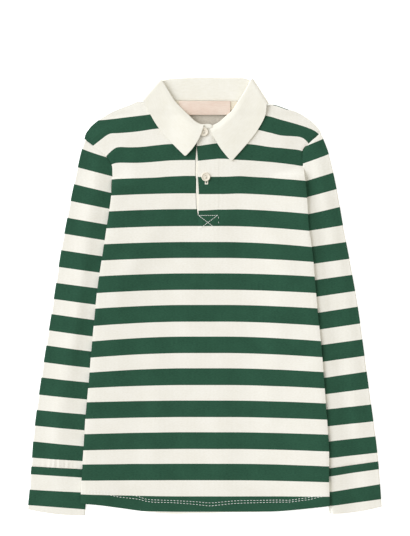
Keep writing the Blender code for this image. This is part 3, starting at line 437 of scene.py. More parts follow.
def hem_at(x):
    return np.interp(x, HEM_CURVE[:, 0], HEM_CURVE[:, 1])


def neck_step(y):
    return PLY * ease((y - COLLAR_STEP_START) / COLLAR_STEP_LENGTH)


def neck_front_extra(y):
    """The front climbs less than the back does, and the collar's front goes with it."""
    return neck_step(y) * 2.0 / 3.0


def side_lift(x, y):
    """How far the torso's side is raised by the sleeve under it."""

    def lift(half):
        edge = across_at(half.seam, y)
        underlap = np.maximum(edge - across_at(half.fold, y), 0.0)
        rise = ease((UNDERARM_Y[half.side] - y) / UNDERARM_RISE)
        inside = edge - np.abs(x)
        return SIDE_LIFT[half.side] * rise * fade((inside - underlap - SIDE_LEDGE) / SIDE_SLOPE)

    return by_side(x, lift)


def back_floor(x, y):
    return np.maximum(side_lift(x, y), neck_step(y))


def over_back(x, y):
    """Height of what lies on the back panel."""
    climbed = neck_step(y) / PLY
    return back_floor(x, y) + PLY + STEP_SPARE * 4.0 * climbed * (1.0 - climbed)


def soft_folds(x, y):
    total = np.zeros(np.shape(x))
    for fx, fy, angle, length, width, height in FRONT_FOLDS:
        c, s = math.cos(math.radians(angle)), math.sin(math.radians(angle))
        lengthwise = (x - fx) * c + (y - fy) * s
        crosswise = (y - fy) * c - (x - fx) * s
        total += height * np.exp(-(lengthwise / length) ** 2 - (crosswise / width) ** 2)
    return total


def front_level(x, y):
    """Height of the front panel's underside, but for its rise beside the placket."""
    touching = over_back(x, y)
    near_neck = fade(from_line(lambda h: h.neckline, x, y) / NECK_SPREAD)
    level = FRONT_LEVEL + (NECK_LEVEL - FRONT_LEVEL + neck_front_extra(y)) * near_neck
    from_seam = from_line(lambda h: h.seam, x, y)
    side_level = by_side(x, lambda h: np.full(np.shape(x), SIDE_LIFT[h.side] + PLY))
    to_side = fade(from_seam / SIDE_REACH) * ease((CHEST_TOP - y) / CHEST_FADE)
    level = mix(level, np.maximum(level, side_level), to_side)
    level = np.maximum(level + soft_folds(x, y) * (1.0 - near_neck), touching)
    from_armhole = ease(from_line(lambda h: h.armhole, x, y) / SEAM_EASE)
    free = np.minimum(ease(from_seam / SEAM_EASE), mix(ARMHOLE_SHARE, 1.0, from_armhole))
    free = np.minimum(free, ease(from_line(lambda h: h.shoulder, x, y) / SHOULDER_EASE))
    free = np.minimum(free, ease((y - hem_at(x)) / HEM_EASE))
    return mix(touching, level, free)


def placket_loft(x, y):
    """Rise of the front on the button side, where the band on it lies over two plies."""
    across = ease((x - SLIT["right"]) / (SLIT["left"] - SLIT["right"]))
    across = across * fade((x - SLIT["left"]) / LOFT_REACH)
    rise = (PLY + BAND_SPARE) * across * ease((y - LOFT_FOOT) / LOFT_FOOT_EASE)
    return rise * fade((y - LOFT_TOP) / LOFT_TOP_EASE)


def front_floor(x, y):
    return front_level(x, y) + placket_loft(x, y)


# ---------------------------------------------------------------------------
# Stripes: how far down the cloth each point lies, in stripes

def stripe_drop(side, edge, across):
    """How much lower than at the centre front one stripe edge is."""
    level = BODY_EDGES[edge - FIRST_BODY_EDGE]
    if edge < len(SHOULDER_DROP[side]):
        row = SHOULDER_DROP[side][max(edge, 0)]
        line = curve_through(np.column_stack([DROP_AT, row]), 6)
        drop = np.interp(across, line[:, 0], line[:, 1])
    else:
        seam = across_at(HALVES[side].seam, level)
        out = np.clip((across - DROOP_START) / (seam - DROOP_START), 0.0, 1.15)
        drop = in_table(SIDE_DROOP, 1 if side == "right" else 2, level) * out**DROOP_BEND
    if side == "left":
        drop = drop + in_table(PLACKET_DROP, 1, level) * fade((across - 22.0) / 24.0)
    return drop


def body_stripe(x, y):
    """Number of stripes down from the green one under the collar."""
    total = np.full(np.shape(x), float(FIRST_BODY_EDGE))
    heights = []
    for k, level in enumerate(BODY_EDGES):
        edge = k + FIRST_BODY_EDGE
        heights.append(level - by_side(x, lambda h: stripe_drop(h.side, edge, np.abs(x))))
    for k in range(len(heights) - 2, -1, -1):
        heights[k] = np.maximum(heights[k], heights[k + 1] + NARROWEST_STRIPE)
    for upper, lower in zip(heights, heights[1:]):
        total += np.clip((upper - y) / (upper - lower), 0.0, 1.0)
    return total


def placket_stripe(x, y):
    """The band's own stripes, plain white where it runs up between the leaves."""
    t = np.clip((SLIT["left"] - x) / (SLIT["left"] - BAND_EDGE), 0.0, 1.0)
    beside = in_table(PLACKET_DROP, 1, y)
    level = y + mix(beside, in_table(PLACKET_DROP, 2, y), t)
    down = np.arange(len(BODY_EDGES)) + FIRST_BODY_EDGE
    # The first white stripe starts this many stripes down.
    white = 1.04
    return np.maximum(np.interp(-level, -np.array(BODY_EDGES), down), white)


def limb_stripe(side, edges, slopes, first):
    """Stripes down a sleeve or cuff, whose stripes slope towards the torso."""
    edges = np.array(edges[side], float)
    down = np.arange(len(edges)) + first

    def stripe(x, y):
        level = y + in_table(slopes[side], 1, y) * (np.abs(x) - SLEEVE_X) * -1.0
        return np.interp(-level, -edges, down)

    return stripe


# ---------------------------------------------------------------------------
# Mesh makers

def finish_mesh(name, points, faces, uv, material, rounding=EDGE_ROUNDING):
    """A named cloth piece from points in millimetres, with its cloth coordinates."""
    mesh = bpy.data.meshes.new(name)
    mesh.from_pydata([tuple(p) for p in points * MM], [], [tuple(f) for f in faces])
    layer = mesh.uv_layers.new(name="cloth")
    vertex = np.empty(len(mesh.loops), int)
    mesh.loops.foreach_get("vertex_index", vertex)
    layer.data.foreach_set("uv", (uv[vertex] * MM).astype(np.float32).ravel())
    mesh.materials.append(material)
    shaped = bmesh.new()
    shaped.from_mesh(mesh)
    bmesh.ops.recalc_face_normals(shaped, faces=shaped.faces)
    shaped.to_mesh(mesh)
    shaped.free()
    mesh.shade_smooth()
    piece = bpy.data.objects.new(name, mesh)
    bpy.context.scene.collection.objects.link(piece)
    if rounding:
        bevel = piece.modifiers.new("rounded edge", "BEVEL")
        bevel.width = rounding * MM
        bevel.segments = 2
        bevel.limit_method = "ANGLE"
        bevel.angle_limit = math.radians(60.0)
        bpy.context.view_layer.objects.active = piece
        bpy.ops.object.modifier_apply(modifier=bevel.name)
    return piece


def cloth_wall(name, top, low, uv, material, cells=None, ring=False, rounding=EDGE_ROUNDING):
    """A closed wall of cloth between an upper and a lower grid of points."""
    rows, columns = top.shape[:2]
    index = np.arange(rows * columns).reshape(rows, columns)
    if ring:
        index = np.concatenate([index, index[:, :1]], 1)
    keep = np.ones((rows - 1, index.shape[1] - 1), bool) if cells is None else cells
    corner = [index[:-1, :-1], index[:-1, 1:], index[1:, 1:], index[1:, :-1]]
    count = rows * columns
    upper = np.stack([c[keep] for c in corner], 1)
    faces = [upper, upper[:, ::-1] + count]
    around = np.pad(keep, 1)
    if ring:
        around[:, 0], around[:, -1] = around[:, -2], around[:, 1]
    neighbours = (around[:-2, 1:-1], around[1:-1, 2:], around[2:, 1:-1], around[1:-1, :-2])
    for k, beside in enumerate(neighbours):
        rim = keep & ~beside
        a, b = corner[k][rim], corner[(k + 1) % 4][rim]
        faces.append(np.stack([b, a, a + count, b + count], 1))
    faces = np.concatenate(faces)
    points = np.concatenate([top.reshape(-1, 3), low.reshape(-1, 3)])
    uv = np.concatenate([uv.reshape(-1, 2)] * 2)
    used = np.unique(faces)
    place = np.zeros(2 * count, int)
    place[used] = np.arange(len(used))
    return finish_mesh(name, points[used], place[faces], uv[used], material, rounding)


def laid(name, at, floor, wall, stripe, material, cells=None, rounding=EDGE_ROUNDING):
    """A panel laid at the floor's height: plan points in rows, and its wall."""
    x, y = at[..., 0], at[..., 1]
    base = floor(x, y)
    low = np.stack([x, y, base], -1)
    top = np.stack([x, y, base + wall], -1)
    uv = np.stack([x, stripe(x, y) * STRIPE if stripe else y], -1)
    return cloth_wall(name, top, low, uv, material, cells, False, rounding)


def spread(outer, inner, near_outer, near_inner, even):
    """Plan points from each outer to each inner point, closer together near both."""
    gap = inner - outer
    length = np.linalg.norm(gap, axis=1)
    scale = np.minimum(1.0, length / HALF_WIDTH)[:, None]
    first = np.array(near_outer) * scale
    last = length[:, None] - np.array(near_inner)[::-1] * scale
    t = np.linspace(0.0, 1.0, even + 2)[1:-1]
    middle = first[:, -1:] + (last[:, :1] - first[:, -1:]) * t
    steps = np.concatenate([first, middle, last], 1)
    return outer[:, None] + unit(gap)[:, None] * steps[..., None]


def hem_shift(x, y):
    """How far the rows near the hem move to follow its curve."""
    return (hem_at(x) - HEM_Y) * fade((y - HEM_Y) / HEM_FADE)


# Distances of the first columns of cells from an edge, and of the first rows from the hem.
EDGE_STEPS = (0.0, 0.9, 2.0, 3.4, 5.0, 7.0, 9.5)
HEM_STEPS = (0.0, 0.8, 1.8, 3.0, 4.6)
# The back's shoulder rows start at this height on the centre line.
YOKE_Y = 206.0
# Part of the shoulder rows that end on the shoulder; the others end in the collar's crease.
SHOULDER_SHARE = 0.875
# Rows of cells below the slit, from there to the underarm, up the armhole and along the
# shoulder; and how many are evenly spaced across a half.
FRONT_ROWS, FRONT_COLUMNS = (125, 30, 22, 60), 38
BACK_ROWS, BACK_COLUMNS = (70, 16, 14, 44), 22
# Where the shoulder seam rolls to the front, so that the back's edge shows: distances
# from the centre line, and how far.
SEAM_ROLL = {"right": (76.5, 81.0, 0.9), "left": (84.0, 106.0, 1.0)}


def shoulder_roll(half, across):
    start, end, depth = SEAM_ROLL[half.side]
    return depth * ease((across - start) / 2.0) * ease((end - across) / 3.0)


def torso_half(half, inner_x, neckline, rows, columns, whole):
    """Plan grid of one half of the torso, from the hem to the neck.

    The front's shoulder rows end on its neckline. The back is whole: they end on the
    centre line, and take on the neckline's bend as they near it.
    """
    lower, upper, armhole, shoulder = rows
    neck_y = YOKE_Y if whole else neckline[0, 1]
    underarm = UNDERARM_Y[half.side]
    near_hem = HEM_Y + np.array(HEM_STEPS)
    body = np.concatenate([
        near_hem,
        np.linspace(near_hem[-1], SLIT_BOTTOM, lower)[1:],
        np.linspace(SLIT_BOTTOM, underarm, upper)[1:],
    ])
    outer = np.stack([half.sign * across_at(half.seam, body), body], 1)
    inner = np.stack([np.full_like(body, inner_x), body], 1)
    parts = np.linspace(0.0, 1.0, armhole + 1)[1:]
    outer = np.concatenate([outer, along(half.armhole, parts)])
    climb = np.stack([np.full(armhole, inner_x), mix(underarm, neck_y, parts)], 1)
    inner = np.concatenate([inner, climb])
    parts = np.linspace(0.0, 1.0, shoulder + 1)[1:]
    crease = np.stack([half.crease_exit, half.neck_point])
    in_crease = (parts - SHOULDER_SHARE) / (1.0 - SHOULDER_SHARE)
    ends = np.where(
        parts[:, None] < SHOULDER_SHARE,
        along(half.shoulder, np.minimum(parts / SHOULDER_SHARE, 1.0)),
        along(crease, np.clip(in_crease, 0.0, 1.0)),
    )
    if not whole:
        ends = ends - np.array([[0.0, 1.0]]) * shoulder_roll(half, np.abs(ends[:, :1]))
    outer = np.concatenate([outer, ends])
    if whole:
        ends = np.stack([np.full(shoulder, inner_x), mix(YOKE_Y, neckline[0, 1], parts**1.4)], 1)
    else:
        ends = along(neckline, parts)
    inner = np.concatenate([inner, ends])
    grid = spread(outer, inner, EDGE_STEPS, EDGE_STEPS[:4], columns)
    if whole:
        upper_part = grid[-shoulder:]
        towards_edge = np.linalg.norm(upper_part - ends[:, None], axis=2)
        towards_edge /= towards_edge[:, :1]
        chord = neckline[0] + (neckline[-1] - neckline[0]) * towards_edge[..., None]
        upper_part += (along(neckline, towards_edge) - chord) * ease(parts)[:, None, None] ** 2
    lower_part = grid[: len(body)]
    lower_part[..., 1] += hem_shift(lower_part[..., 0], lower_part[..., 1])
    return grid, len(near_hem) + lower - 2


# ---------------------------------------------------------------------------
# Materials

def linear(code):
    """An sRGB hex colour as linear values."""
    parts = [int(code[i : i + 2], 16) / 255.0 for i in (1, 3, 5)]
    parts = [c / 12.92 if c <= 0.04045 else ((c + 0.055) / 1.055) ** 2.4 for c in parts]
    return (*parts, 1.0)


def add(tree, kind, inputs=(), **settings):
    """Add a node with its settings, link or set its inputs, and give its outputs."""
    node = tree.nodes.new("ShaderNode" + kind)
    for key, value in settings.items():
        setattr(node, key, value)
    for key, value in inputs.items() if isinstance(inputs, dict) else enumerate(inputs):
        if isinstance(value, bpy.types.NodeSocket):
            tree.links.new(value, node.inputs[key])
        else:
            node.inputs[key].default_value = value
    return node.outputs


def new_material(name, roughness, ior=1.5):
    made = bpy.data.materials.new(name)
    made.use_nodes = True
    shader = made.node_tree.nodes["Principled BSDF"]
    shader.inputs["Roughness"].default_value = roughness
    shader.inputs["IOR"].default_value = ior
    return made, made.node_tree, shader


def cloth_places(tree):
    """The cloth's own coordinates in millimetres: all, across and down."""
    uv = add(tree, "UVMap", uv_map="cloth")
    places = add(tree, "VectorMath", {0: uv[0], "Scale": 1000.0}, operation="SCALE")[0]
    parts = add(tree, "SeparateXYZ", [places])
    return places, parts[0], parts[1]


# Jersey's stitches are 1.6 mm wide and 1.3 mm high here. Real ones are about two thirds of
# that and would not show. The bump's full height is in metres.
WALE, COURSE = 1.6, 1.3
KNIT_DEPTH = 0.00012
WEAVE_DEPTH = 0.0001
# Stripe edges wander a little, and one yarn passes into the other over this distance.
EDGE_WANDER, WANDER_MIDDLE = 0.35, 0.17
EDGE_BLEND = 0.15


def knit_bump(tree, shader, places, across, down):
    """Jersey's face: columns of small V stitches under a fine fuzz."""
    zigzag = add(tree, "Math", [across, WALE / 2], operation="PINGPONG")[0]
    lean = add(tree, "Math", [zigzag, 0.9, down], operation="MULTIPLY_ADD")[0]
    turn = add(tree, "Math", [lean, math.tau / COURSE], operation="MULTIPLY")[0]
    course = add(tree, "Math", [turn], operation="SINE")[0]
    turn = add(tree, "Math", [across, math.tau / WALE], operation="MULTIPLY")[0]
    wale = add(tree, "Math", [turn], operation="SINE")[0]
    stitches = add(tree, "Math", [course, 0.6, wale], operation="MULTIPLY_ADD")[0]
    fuzz = add(tree, "TexNoise", {"Vector": places, "Scale": 1.1, "Detail": 3.0})[0]
    height = add(tree, "Math", [fuzz, 1.5, stitches], operation="MULTIPLY_ADD")[0]
    bump = add(tree, "Bump", {"Strength": 0.35, "Distance": KNIT_DEPTH, "Height": height})
    tree.links.new(bump[0], shader.inputs["Normal"])


def jersey(name, green, white):
    """Cotton jersey, knitted in stripes: matt, with a soft fuzz and slightly uneven dye."""
    made, tree, shader = new_material(name, 0.92)
    shader.inputs["Sheen Weight"].default_value = 0.03
    shader.inputs["Sheen Roughness"].default_value = 0.6
    shader.inputs["Specular IOR Level"].default_value = 0.2
    places, across, down = cloth_places(tree)
    wander = add(tree, "TexNoise", {"Vector": places, "Scale": 0.6, "Detail": 2.0})[0]
    shifted = add(tree, "Math", [down, STRIPE / 2 - WANDER_MIDDLE], operation="ADD")[0]
    turned = add(tree, "Math", [wander, EDGE_WANDER, shifted], operation="MULTIPLY_ADD")[0]
    cycle = add(tree, "Math", [turned, 2 * STRIPE], operation="FLOORED_MODULO")[0]
    off_middle = add(tree, "Math", [cycle, STRIPE], operation="SUBTRACT")[0]
    off_middle = add(tree, "Math", [off_middle], operation="ABSOLUTE")[0]
    edge = {"Value": off_middle, "From Min": STRIPE / 2 - EDGE_BLEND,
            "From Max": STRIPE / 2 + EDGE_BLEND, "To Min": 1.0, "To Max": 0.0}
    band = add(tree, "MapRange", edge, interpolation_type="SMOOTHSTEP")[0]
    yarns = add(tree, "VectorMath", [places, (0.35, 0.9, 1.0)], operation="MULTIPLY")[0]
    grain = add(tree, "TexNoise", {"Vector": yarns, "Scale": 1.0, "Detail": 3.0})[0]
    mottle = add(tree, "TexNoise", {"Vector": places, "Scale": 0.045, "Detail": 3.0})[0]
    mottle = add(tree, "Math", [mottle, 0.35], operation="MULTIPLY")[0]
    uneven = add(tree, "Math", [grain, 0.65, mottle], operation="MULTIPLY_ADD")[0]
    uneven = add(tree, "MapRange", {"Value": uneven, "From Min": 0.34, "From Max": 0.66})[0]
    greens, whites = (
        add(tree, "Mix", {0: uneven, 6: linear(low), 7: linear(high)}, data_type="RGBA")[2]
        for low, high in (green, white)
    )
    colour = add(tree, "Mix", {0: band, 6: whites, 7: greens}, data_type="RGBA")[2]
    tree.links.new(colour, shader.inputs["Base Color"])
    knit_bump(tree, shader, places, across, down)
    return made


def woven(name, colours, twill, pitch, strength, roughness=0.85):
    """Woven cotton: fine crossing threads, in diagonal twill lines where it is twill."""
    made, tree, shader = new_material(name, roughness)
    shader.inputs["Specular IOR Level"].default_value = 0.25
    shader.inputs["Sheen Weight"].default_value = 0.05
    places, across, down = cloth_places(tree)
    lean = add(tree, "Math", [across, twill, down], operation="MULTIPLY_ADD")[0]
    turn = add(tree, "Math", [lean, math.tau / pitch], operation="MULTIPLY")[0]
    rib = add(tree, "Math", [turn], operation="SINE")[0]
    turn = add(tree, "Math", [across, math.tau / (pitch * 0.8)], operation="MULTIPLY")[0]
    thread = add(tree, "Math", [turn], operation="SINE")[0]
    yarns = add(tree, "VectorMath", [places, (0.2, 1.0, 1.0)], operation="MULTIPLY")[0]
    slub = add(tree, "TexNoise", {"Vector": yarns, "Scale": 0.9, "Detail": 3.0})[0]
    height = add(tree, "Math", [thread, 0.5, rib], operation="MULTIPLY_ADD")[0]
    height = add(tree, "Math", [slub, 1.2, height], operation="MULTIPLY_ADD")[0]
    bump = add(tree, "Bump", {"Strength": strength, "Distance": WEAVE_DEPTH, "Height": height})
    tree.links.new(bump[0], shader.inputs["Normal"])
    cloud = add(tree, "TexNoise", {"Vector": places, "Scale": 0.05, "Detail": 3.0})[0]
    cloud = add(tree, "Math", [cloud, 0.5], operation="MULTIPLY")[0]
    uneven = add(tree, "Math", [slub, 0.5, cloud], operation="MULTIPLY_ADD")[0]
    uneven = add(tree, "MapRange", {"Value": uneven, "From Min": 0.35, "From Max": 0.65})[0]
    pair = {0: uneven, 6: linear(colours[0]), 7: linear(colours[1])}
    tree.links.new(add(tree, "Mix", pair, data_type="RGBA")[2], shader.inputs["Base Color"])
    return made


def plain(name, colours, roughness, ior, scale, specular=0.5):
    """A hard or thread material with slightly uneven colour."""
    made, tree, shader = new_material(name, roughness, ior)
    shader.inputs["Specular IOR Level"].default_value = specular
    places = add(tree, "TexCoord")["Object"]
    uneven = add(tree, "TexNoise", {"Vector": places, "Scale": scale, "Detail": 3.0})[0]
    pair = {0: uneven, 6: linear(colours[0]), 7: linear(colours[1])}
    tree.links.new(add(tree, "Mix", pair, data_type="RGBA")[2], shader.inputs["Base Color"])
    return made


# Knitted of bottle green and off-white cotton yarns: matt stripes with a soft, fuzzy edge.
JERSEY = jersey("striped cotton jersey", ("#234937", "#2d5843"), ("#ece9de", "#f4f2ea"))
# Its inside, as it shows in the neck: plain and a little duller than the face, with the shade
# under the collar painted in as a warm grey.
REVERSE_AND_PAINTED_SHADE = ("#b9b1a2", "#d3ccbf")
JERSEY_REVERSE_PAINTED_SHADE = jersey("reverse of the jersey with painted shade", REVERSE_AND_PAINTED_SHADE, REVERSE_AND_PAINTED_SHADE)
# Unbleached cotton twill: smooth warm white. Its ribs are 1.4 mm apart, twice the real
# distance, so that they show.
TWILL = woven("cream cotton twill", ("#eeebde", "#f5f3e9"), 1.0, 1.4, 0.25)
# Plain weave, a little flatter and whiter.
FACING = woven("cream cotton facing", ("#eeeadd", "#f6f2e7"), 0.0, 1.2, 0.25)
# Heavy tape: darker cream with ribs 2 mm apart, as herringbone has.
TAPE = woven("cream herringbone tape", ("#e6dcc6", "#efe7d4"), 1.6, 2.0, 0.4)
# Satin weave: its long floats give a faint gloss.
LABEL = woven("pale pink satin label", ("#e6cfbf", "#efdfd1"), 0.0, 0.9, 0.2, 0.55)
# Moulded polyester: a soft gloss with faint clouds.
BUTTON = plain("cream polyester button", ("#e2d9c6", "#f0e9db"), 0.32, 1.54, 260.0)
# Spun polyester thread: bright, with a faint gloss.
THREAD = plain("white sewing thread", ("#eef0ea", "#ffffff"), 0.6, 1.5, 900.0, 0.3)
BUTTONHOLE_THREAD = plain(
    "off-white buttonhole thread", ("#efeadb", "#faf7ec"), 0.6, 1.5, 900.0, 0.3
)


# ---------------------------------------------------------------------------
# Torso

def front_height(x, y):
    """The front's own height, pulled down along its sewn edges."""
    pulls = [
        depth * fade(away / reach)
        for away, (depth, reach) in (
            (from_line(lambda h: h.seam, x, y), SEAM_PULL),
            (from_line(lambda h: h.shoulder, x, y), SEAM_PULL),
            (y - hem_at(x), HEM_PULL),
            (from_line(lambda h: h.armhole, x, y), ARMHOLE_PULL),
        )
    ]
    return front_floor(x, y) - np.max(pulls, axis=0)


# The slit's edge wavers from just below its foot, and the cells beside it follow it.
SLIT_BEND_START, SLIT_BEND_EASE = 96.0, 7.0
SLIT_BEND_REACH = 12.0
BRIDGE_POINTS = 12


def make_front():
    halves = []
    for side in SIDES:
        half = HALVES[side]
        grid, slit_row = torso_half(
            half, SLIT[side], half.neckline, FRONT_ROWS, FRONT_COLUMNS, False
        )
        halves.append(grid)
    right, left = halves
    column = right[:, -1]
    moved = in_table(SLIT_LINE, 1, column[:, 1]) - SLIT["right"]
    moved = moved * ease((column[:, 1] - SLIT_BEND_START) / SLIT_BEND_EASE)
    share = ease(1.0 - (column[:, :1] - right[..., 0]) / SLIT_BEND_REACH)
    right[..., 0] += moved[:, None] * share
    middle = np.linspace(0.0, 1.0, BRIDGE_POINTS)[1:-1]
    bridge = right[:, -1:] + (left[:, -1:] - right[:, -1:]) * middle[None, :, None]
    grid = np.concatenate([right, bridge, left[:, ::-1]], 1)
    cells = np.ones((grid.shape[0] - 1, grid.shape[1] - 1), bool)
    slit_columns = slice(right.shape[1] - 1, right.shape[1] - 1 + len(middle) + 1)
    cells[slit_row:, slit_columns] = False
    return laid("front_cloth", grid, front_height, CLOTH, body_stripe, JERSEY, cells)


# The back's stripes are shifted up over the shoulders.
BACK_SHIFT, BACK_SHIFT_START, BACK_SHIFT_EASE = 12.0, 170.0, 50.0
# The back's inside shows in the neck, where it takes the grey with painted shade: half width,
# and from which height.
PAINTED_SHADE_HALF, PAINTED_SHADE_START = 0.062, 0.196


def back_stripe(x, y):
    return body_stripe(x, y + BACK_SHIFT * ease((y - BACK_SHIFT_START) / BACK_SHIFT_EASE))


def make_back():
    halves = []
    for side in SIDES:
        half = HALVES[side]
        line = BACK_SEAM_CURVE - (0.0, BACK_NECK_GAP)
        if side == "right":
            line = line[::-1]
        beyond = line[(line[:, 0] - CENTRE) * half.sign > 1.0]
        beyond = beyond[np.abs(beyond[:, 0]) < abs(half.stand_end[0]) - 1.0]
        start_y = np.interp(CENTRE, BACK_SEAM_CURVE[:, 0], BACK_SEAM_CURVE[:, 1]) - BACK_NECK_GAP
        neckline = np.concatenate([[[CENTRE, start_y]], beyond, [half.neck_point]])
        grid, _ = torso_half(half, CENTRE, neckline, BACK_ROWS, BACK_COLUMNS, True)
        halves.append(grid)
    grid = np.concatenate([halves[0], halves[1][:, ::-1][:, 1:]], 1)
    back = laid("back_cloth", grid, back_floor, CLOTH, back_stripe, JERSEY)
    # The back's top faces in the neck get the reverse of the jersey, whose grey is the collar's
    # shade painted in.
    back.data.materials.append(JERSEY_REVERSE_PAINTED_SHADE)
    for face in back.data.polygons:
        inside = abs(face.center.x) < PAINTED_SHADE_HALF and PAINTED_SHADE_START < face.center.y
        if inside and face.normal.z > 0.5:
            face.material_index = 1
    return back


# ---------------------------------------------------------------------------
# Sleeves and cuffs

# Points across a tube's top and bottom, and round each of its folds.
TOP_POINTS, BOTTOM_POINTS, FOLD_POINTS = 57, 20, 9


def tube_rings(start, end, bow_curve, weights, edges, wall, top_height, sideways=None):
    """Outer and inner skins of a flattened tube, a ring for each start and end."""
    turn = np.linspace(0.0, math.pi, TOP_POINTS)[1:-1]
    tops = np.concatenate([[0.0], 0.5 - 0.5 * np.cos(turn), [1.0]])
    bottoms = np.linspace(1.0, 0.0, BOTTOM_POINTS)
    rolls = np.linspace(90.0, -90.0, FOLD_POINTS)[1:-1]
    skins = ([], [])
    for ring, (a, b) in enumerate(zip(start, end)):
        chord = b - a
        width = np.linalg.norm(chord)
        out = chord / width
        radius = edges[ring] / 2

        def at(t):
            t = np.atleast_1d(t)
            place = a + chord * t[:, None]
            if bow_curve is not None:
                straight = bow_curve[0] + (bow_curve[-1] - bow_curve[0]) * t[:, None]
                place = place + (along(bow_curve, t) - straight) * weights[ring]
            if sideways is not None:
                place = place + sideways(ring, out) * (4.0 * t * (1.0 - t))[:, None]
            return place

        inset = radius / width
        for skin, depth in zip(skins, (0.0, wall)):
            upper = at(mix(inset, 1.0 - inset, tops))
            upper = np.column_stack([upper, top_height(ring, tops) - depth])
            lower = at(mix(inset, 1.0 - inset, bottoms))
            lower = np.column_stack([lower, np.full(len(bottoms), depth)])
            outer_roll = roll(at(1.0 - inset)[0], out, radius, depth, rolls)
            inner_roll = roll(at(inset)[0], -out, radius, depth, rolls)[::-1]
            skin.append(np.concatenate([upper, outer_roll, lower, inner_roll]))
    return np.array(skins[0]), np.array(skins[1])


def roll(centre, out, radius, depth, degrees):
    """Points round one fold of a tube."""
    angle = np.radians(degrees)[:, None]
    place = centre + out * (radius - depth) * np.cos(angle)
    return np.concatenate([place, radius + (radius - depth) * np.sin(angle)], 1)


# A sleeve's top: where it starts to rise from the torso, over how much of the width it
# rises, over how much it falls outside, and how high it puffs up.
SLEEVE_RISE = {"right": (0.1, 0.4, 0.5, 1.6), "left": (0.3, 0.45, 0.24, 1.0)}
# How much thicker its fold is under the torso, from where it thins and over what width.
SLEEVE_LOFT = {"right": (0.0, 0.05, 0.2), "left": (2.5, 0.1, 0.5)}


def rise_across(t, side):
    start, length, fall, _ = SLEEVE_RISE[side]
    return ease((t - start) / length) * ease((1.0 - t) / fall)


def loft_across(t, side):
    height, start, length = SLEEVE_LOFT[side]
    return height * ease(t / 0.06) * fade((t - start) / length)


def seam_groove(depth, reach, away, t, margin):
    """Groove along the seam at a tube's end, between its two folds."""
    return depth * fade(away / reach) * ease(t / margin) * ease((1.0 - t) / margin)


# Lengths of a sleeve and a cuff, the part of the sleeve over which its upper end gets its
# folds' thickness, and how far that end goes into the armhole's seam.
SLEEVE_LENGTH = 400.0
CUFF_LENGTH = 52.0
SLEEVE_HEAD = 0.06
ARMHOLE_OVERLAP = 0.75
# How far the tucks reach up from the cuff, and where they start.
TUCK_REACH, TUCK_START = 11.0, 1.2


def make_sleeve(side):
    half, sign = HALVES[side], SIGN[side]
    down = stepped((0.0, 0.03, 9), (0.03, 0.93, 120), (0.93, 1.0, 25))
    chord = half.armhole[-1] - half.armhole[0]
    away = unit(np.array([chord[1], -chord[0]]))
    away = away if away[1] < 0.0 else -away
    head = ease(down / SLEEVE_HEAD)
    gap = away * ARMHOLE_OVERLAP * (head - 1.0)[:, None]
    start = along(curve_through(plan(SLEEVE_FOLD[side], sign)), down) + gap
    end = along(curve_through(plan(SLEEVE_OUTER[side], sign)), down) + gap
    edges = mix(2 * CLOTH + GAP, SLEEVE_EDGE, head)
    # It puffs up less at the armhole, and half as much at the cuff.
    puff = mix(0.6, SLEEVE_RISE[side][3], ease(down / 0.12))
    puff = puff * mix(1.0, 0.5, ease((down - 0.85) / 0.15))
    loft = ease((down - 0.08) / 0.12)

    def top_height(ring, t):
        rise = rise_across(t, side)
        top = edges[ring] + puff[ring] * rise + loft[ring] * loft_across(t, side)
        for part, across, half_down, half_across, height in SLEEVE_FOLDS:
            reach = ((down[ring] - part) / half_down) ** 2 + ((t - across) / half_across) ** 2
            top = top + height * np.exp(-reach) * rise
        from_cuff = (1.0 - down[ring]) * SLEEVE_LENGTH
        gather = math.exp(-((from_cuff / TUCK_REACH) ** 2)) * ease(from_cuff / TUCK_START) * rise
        for across, width, depth in TUCKS:
            top = top - depth * TUCK_DEPTH[side] * gather * np.exp(-((t - across) / width) ** 2)
        from_armhole = down[ring] * SLEEVE_LENGTH
        top = top - seam_groove(0.45, 2.2, from_cuff, t, 0.08)
        return top - seam_groove(0.8, 3.0, from_armhole, t, 0.05)

    weights = fade(down / 0.3)
    outer, inner = tube_rings(start, end, half.armhole, weights, edges, CLOTH, top_height)
    stripe = limb_stripe(side, SLEEVE_EDGES, SLEEVE_SLOPES, -1)
    uv = np.stack([outer[..., 0], stripe(outer[..., 0], outer[..., 1]) * STRIPE], -1)
    return cloth_wall("sleeve_" + side + "_cloth", outer, inner, uv, JERSEY, ring=True)


def make_cuff(side):
    sign = SIGN[side]
    down = stepped((0.0, 0.12, 7), (0.12, 0.9, 18), (0.9, 1.0, 6))
    start = along(curve_through(plan(CUFF_INNER[side], sign)), down)
    end = along(curve_through(plan(CUFF_OUTER[side], sign)), down)
    edges = np.full(len(down), SLEEVE_EDGE)

    def top_height(ring, t):
        puff = 0.7 * (1.0 - 0.4 * down[ring])
        groove = seam_groove(0.4, 2.0, down[ring] * CUFF_LENGTH, t, 0.06)
        return SLEEVE_EDGE + puff * rise_across(t, side) + loft_across(t, side) - groove

    def sideways(ring, out):
        across = np.array([out[1], -out[0]])
        across = across if across[1] < 0.0 else -across
        return across * CUFF_BOW * down[ring] ** 2

    outer, inner = tube_rings(start, end, None, None, edges, CUFF_WALL, top_height, sideways)
    stripe = limb_stripe(side, CUFF_EDGES, CUFF_SLOPES, 0)
    uv = np.stack([outer[..., 0], stripe(outer[..., 0], outer[..., 1]) * STRIPE], -1)
    return cloth_wall("cuff_" + side + "_cloth", outer, inner, uv, JERSEY, ring=True)


# ---------------------------------------------------------------------------
# Collar

# Height of the middle of the collar's roll, where the collar lies on one ply.
LAYER_MIDDLE = CLOTH / 2 + STAND_HALF + PLY
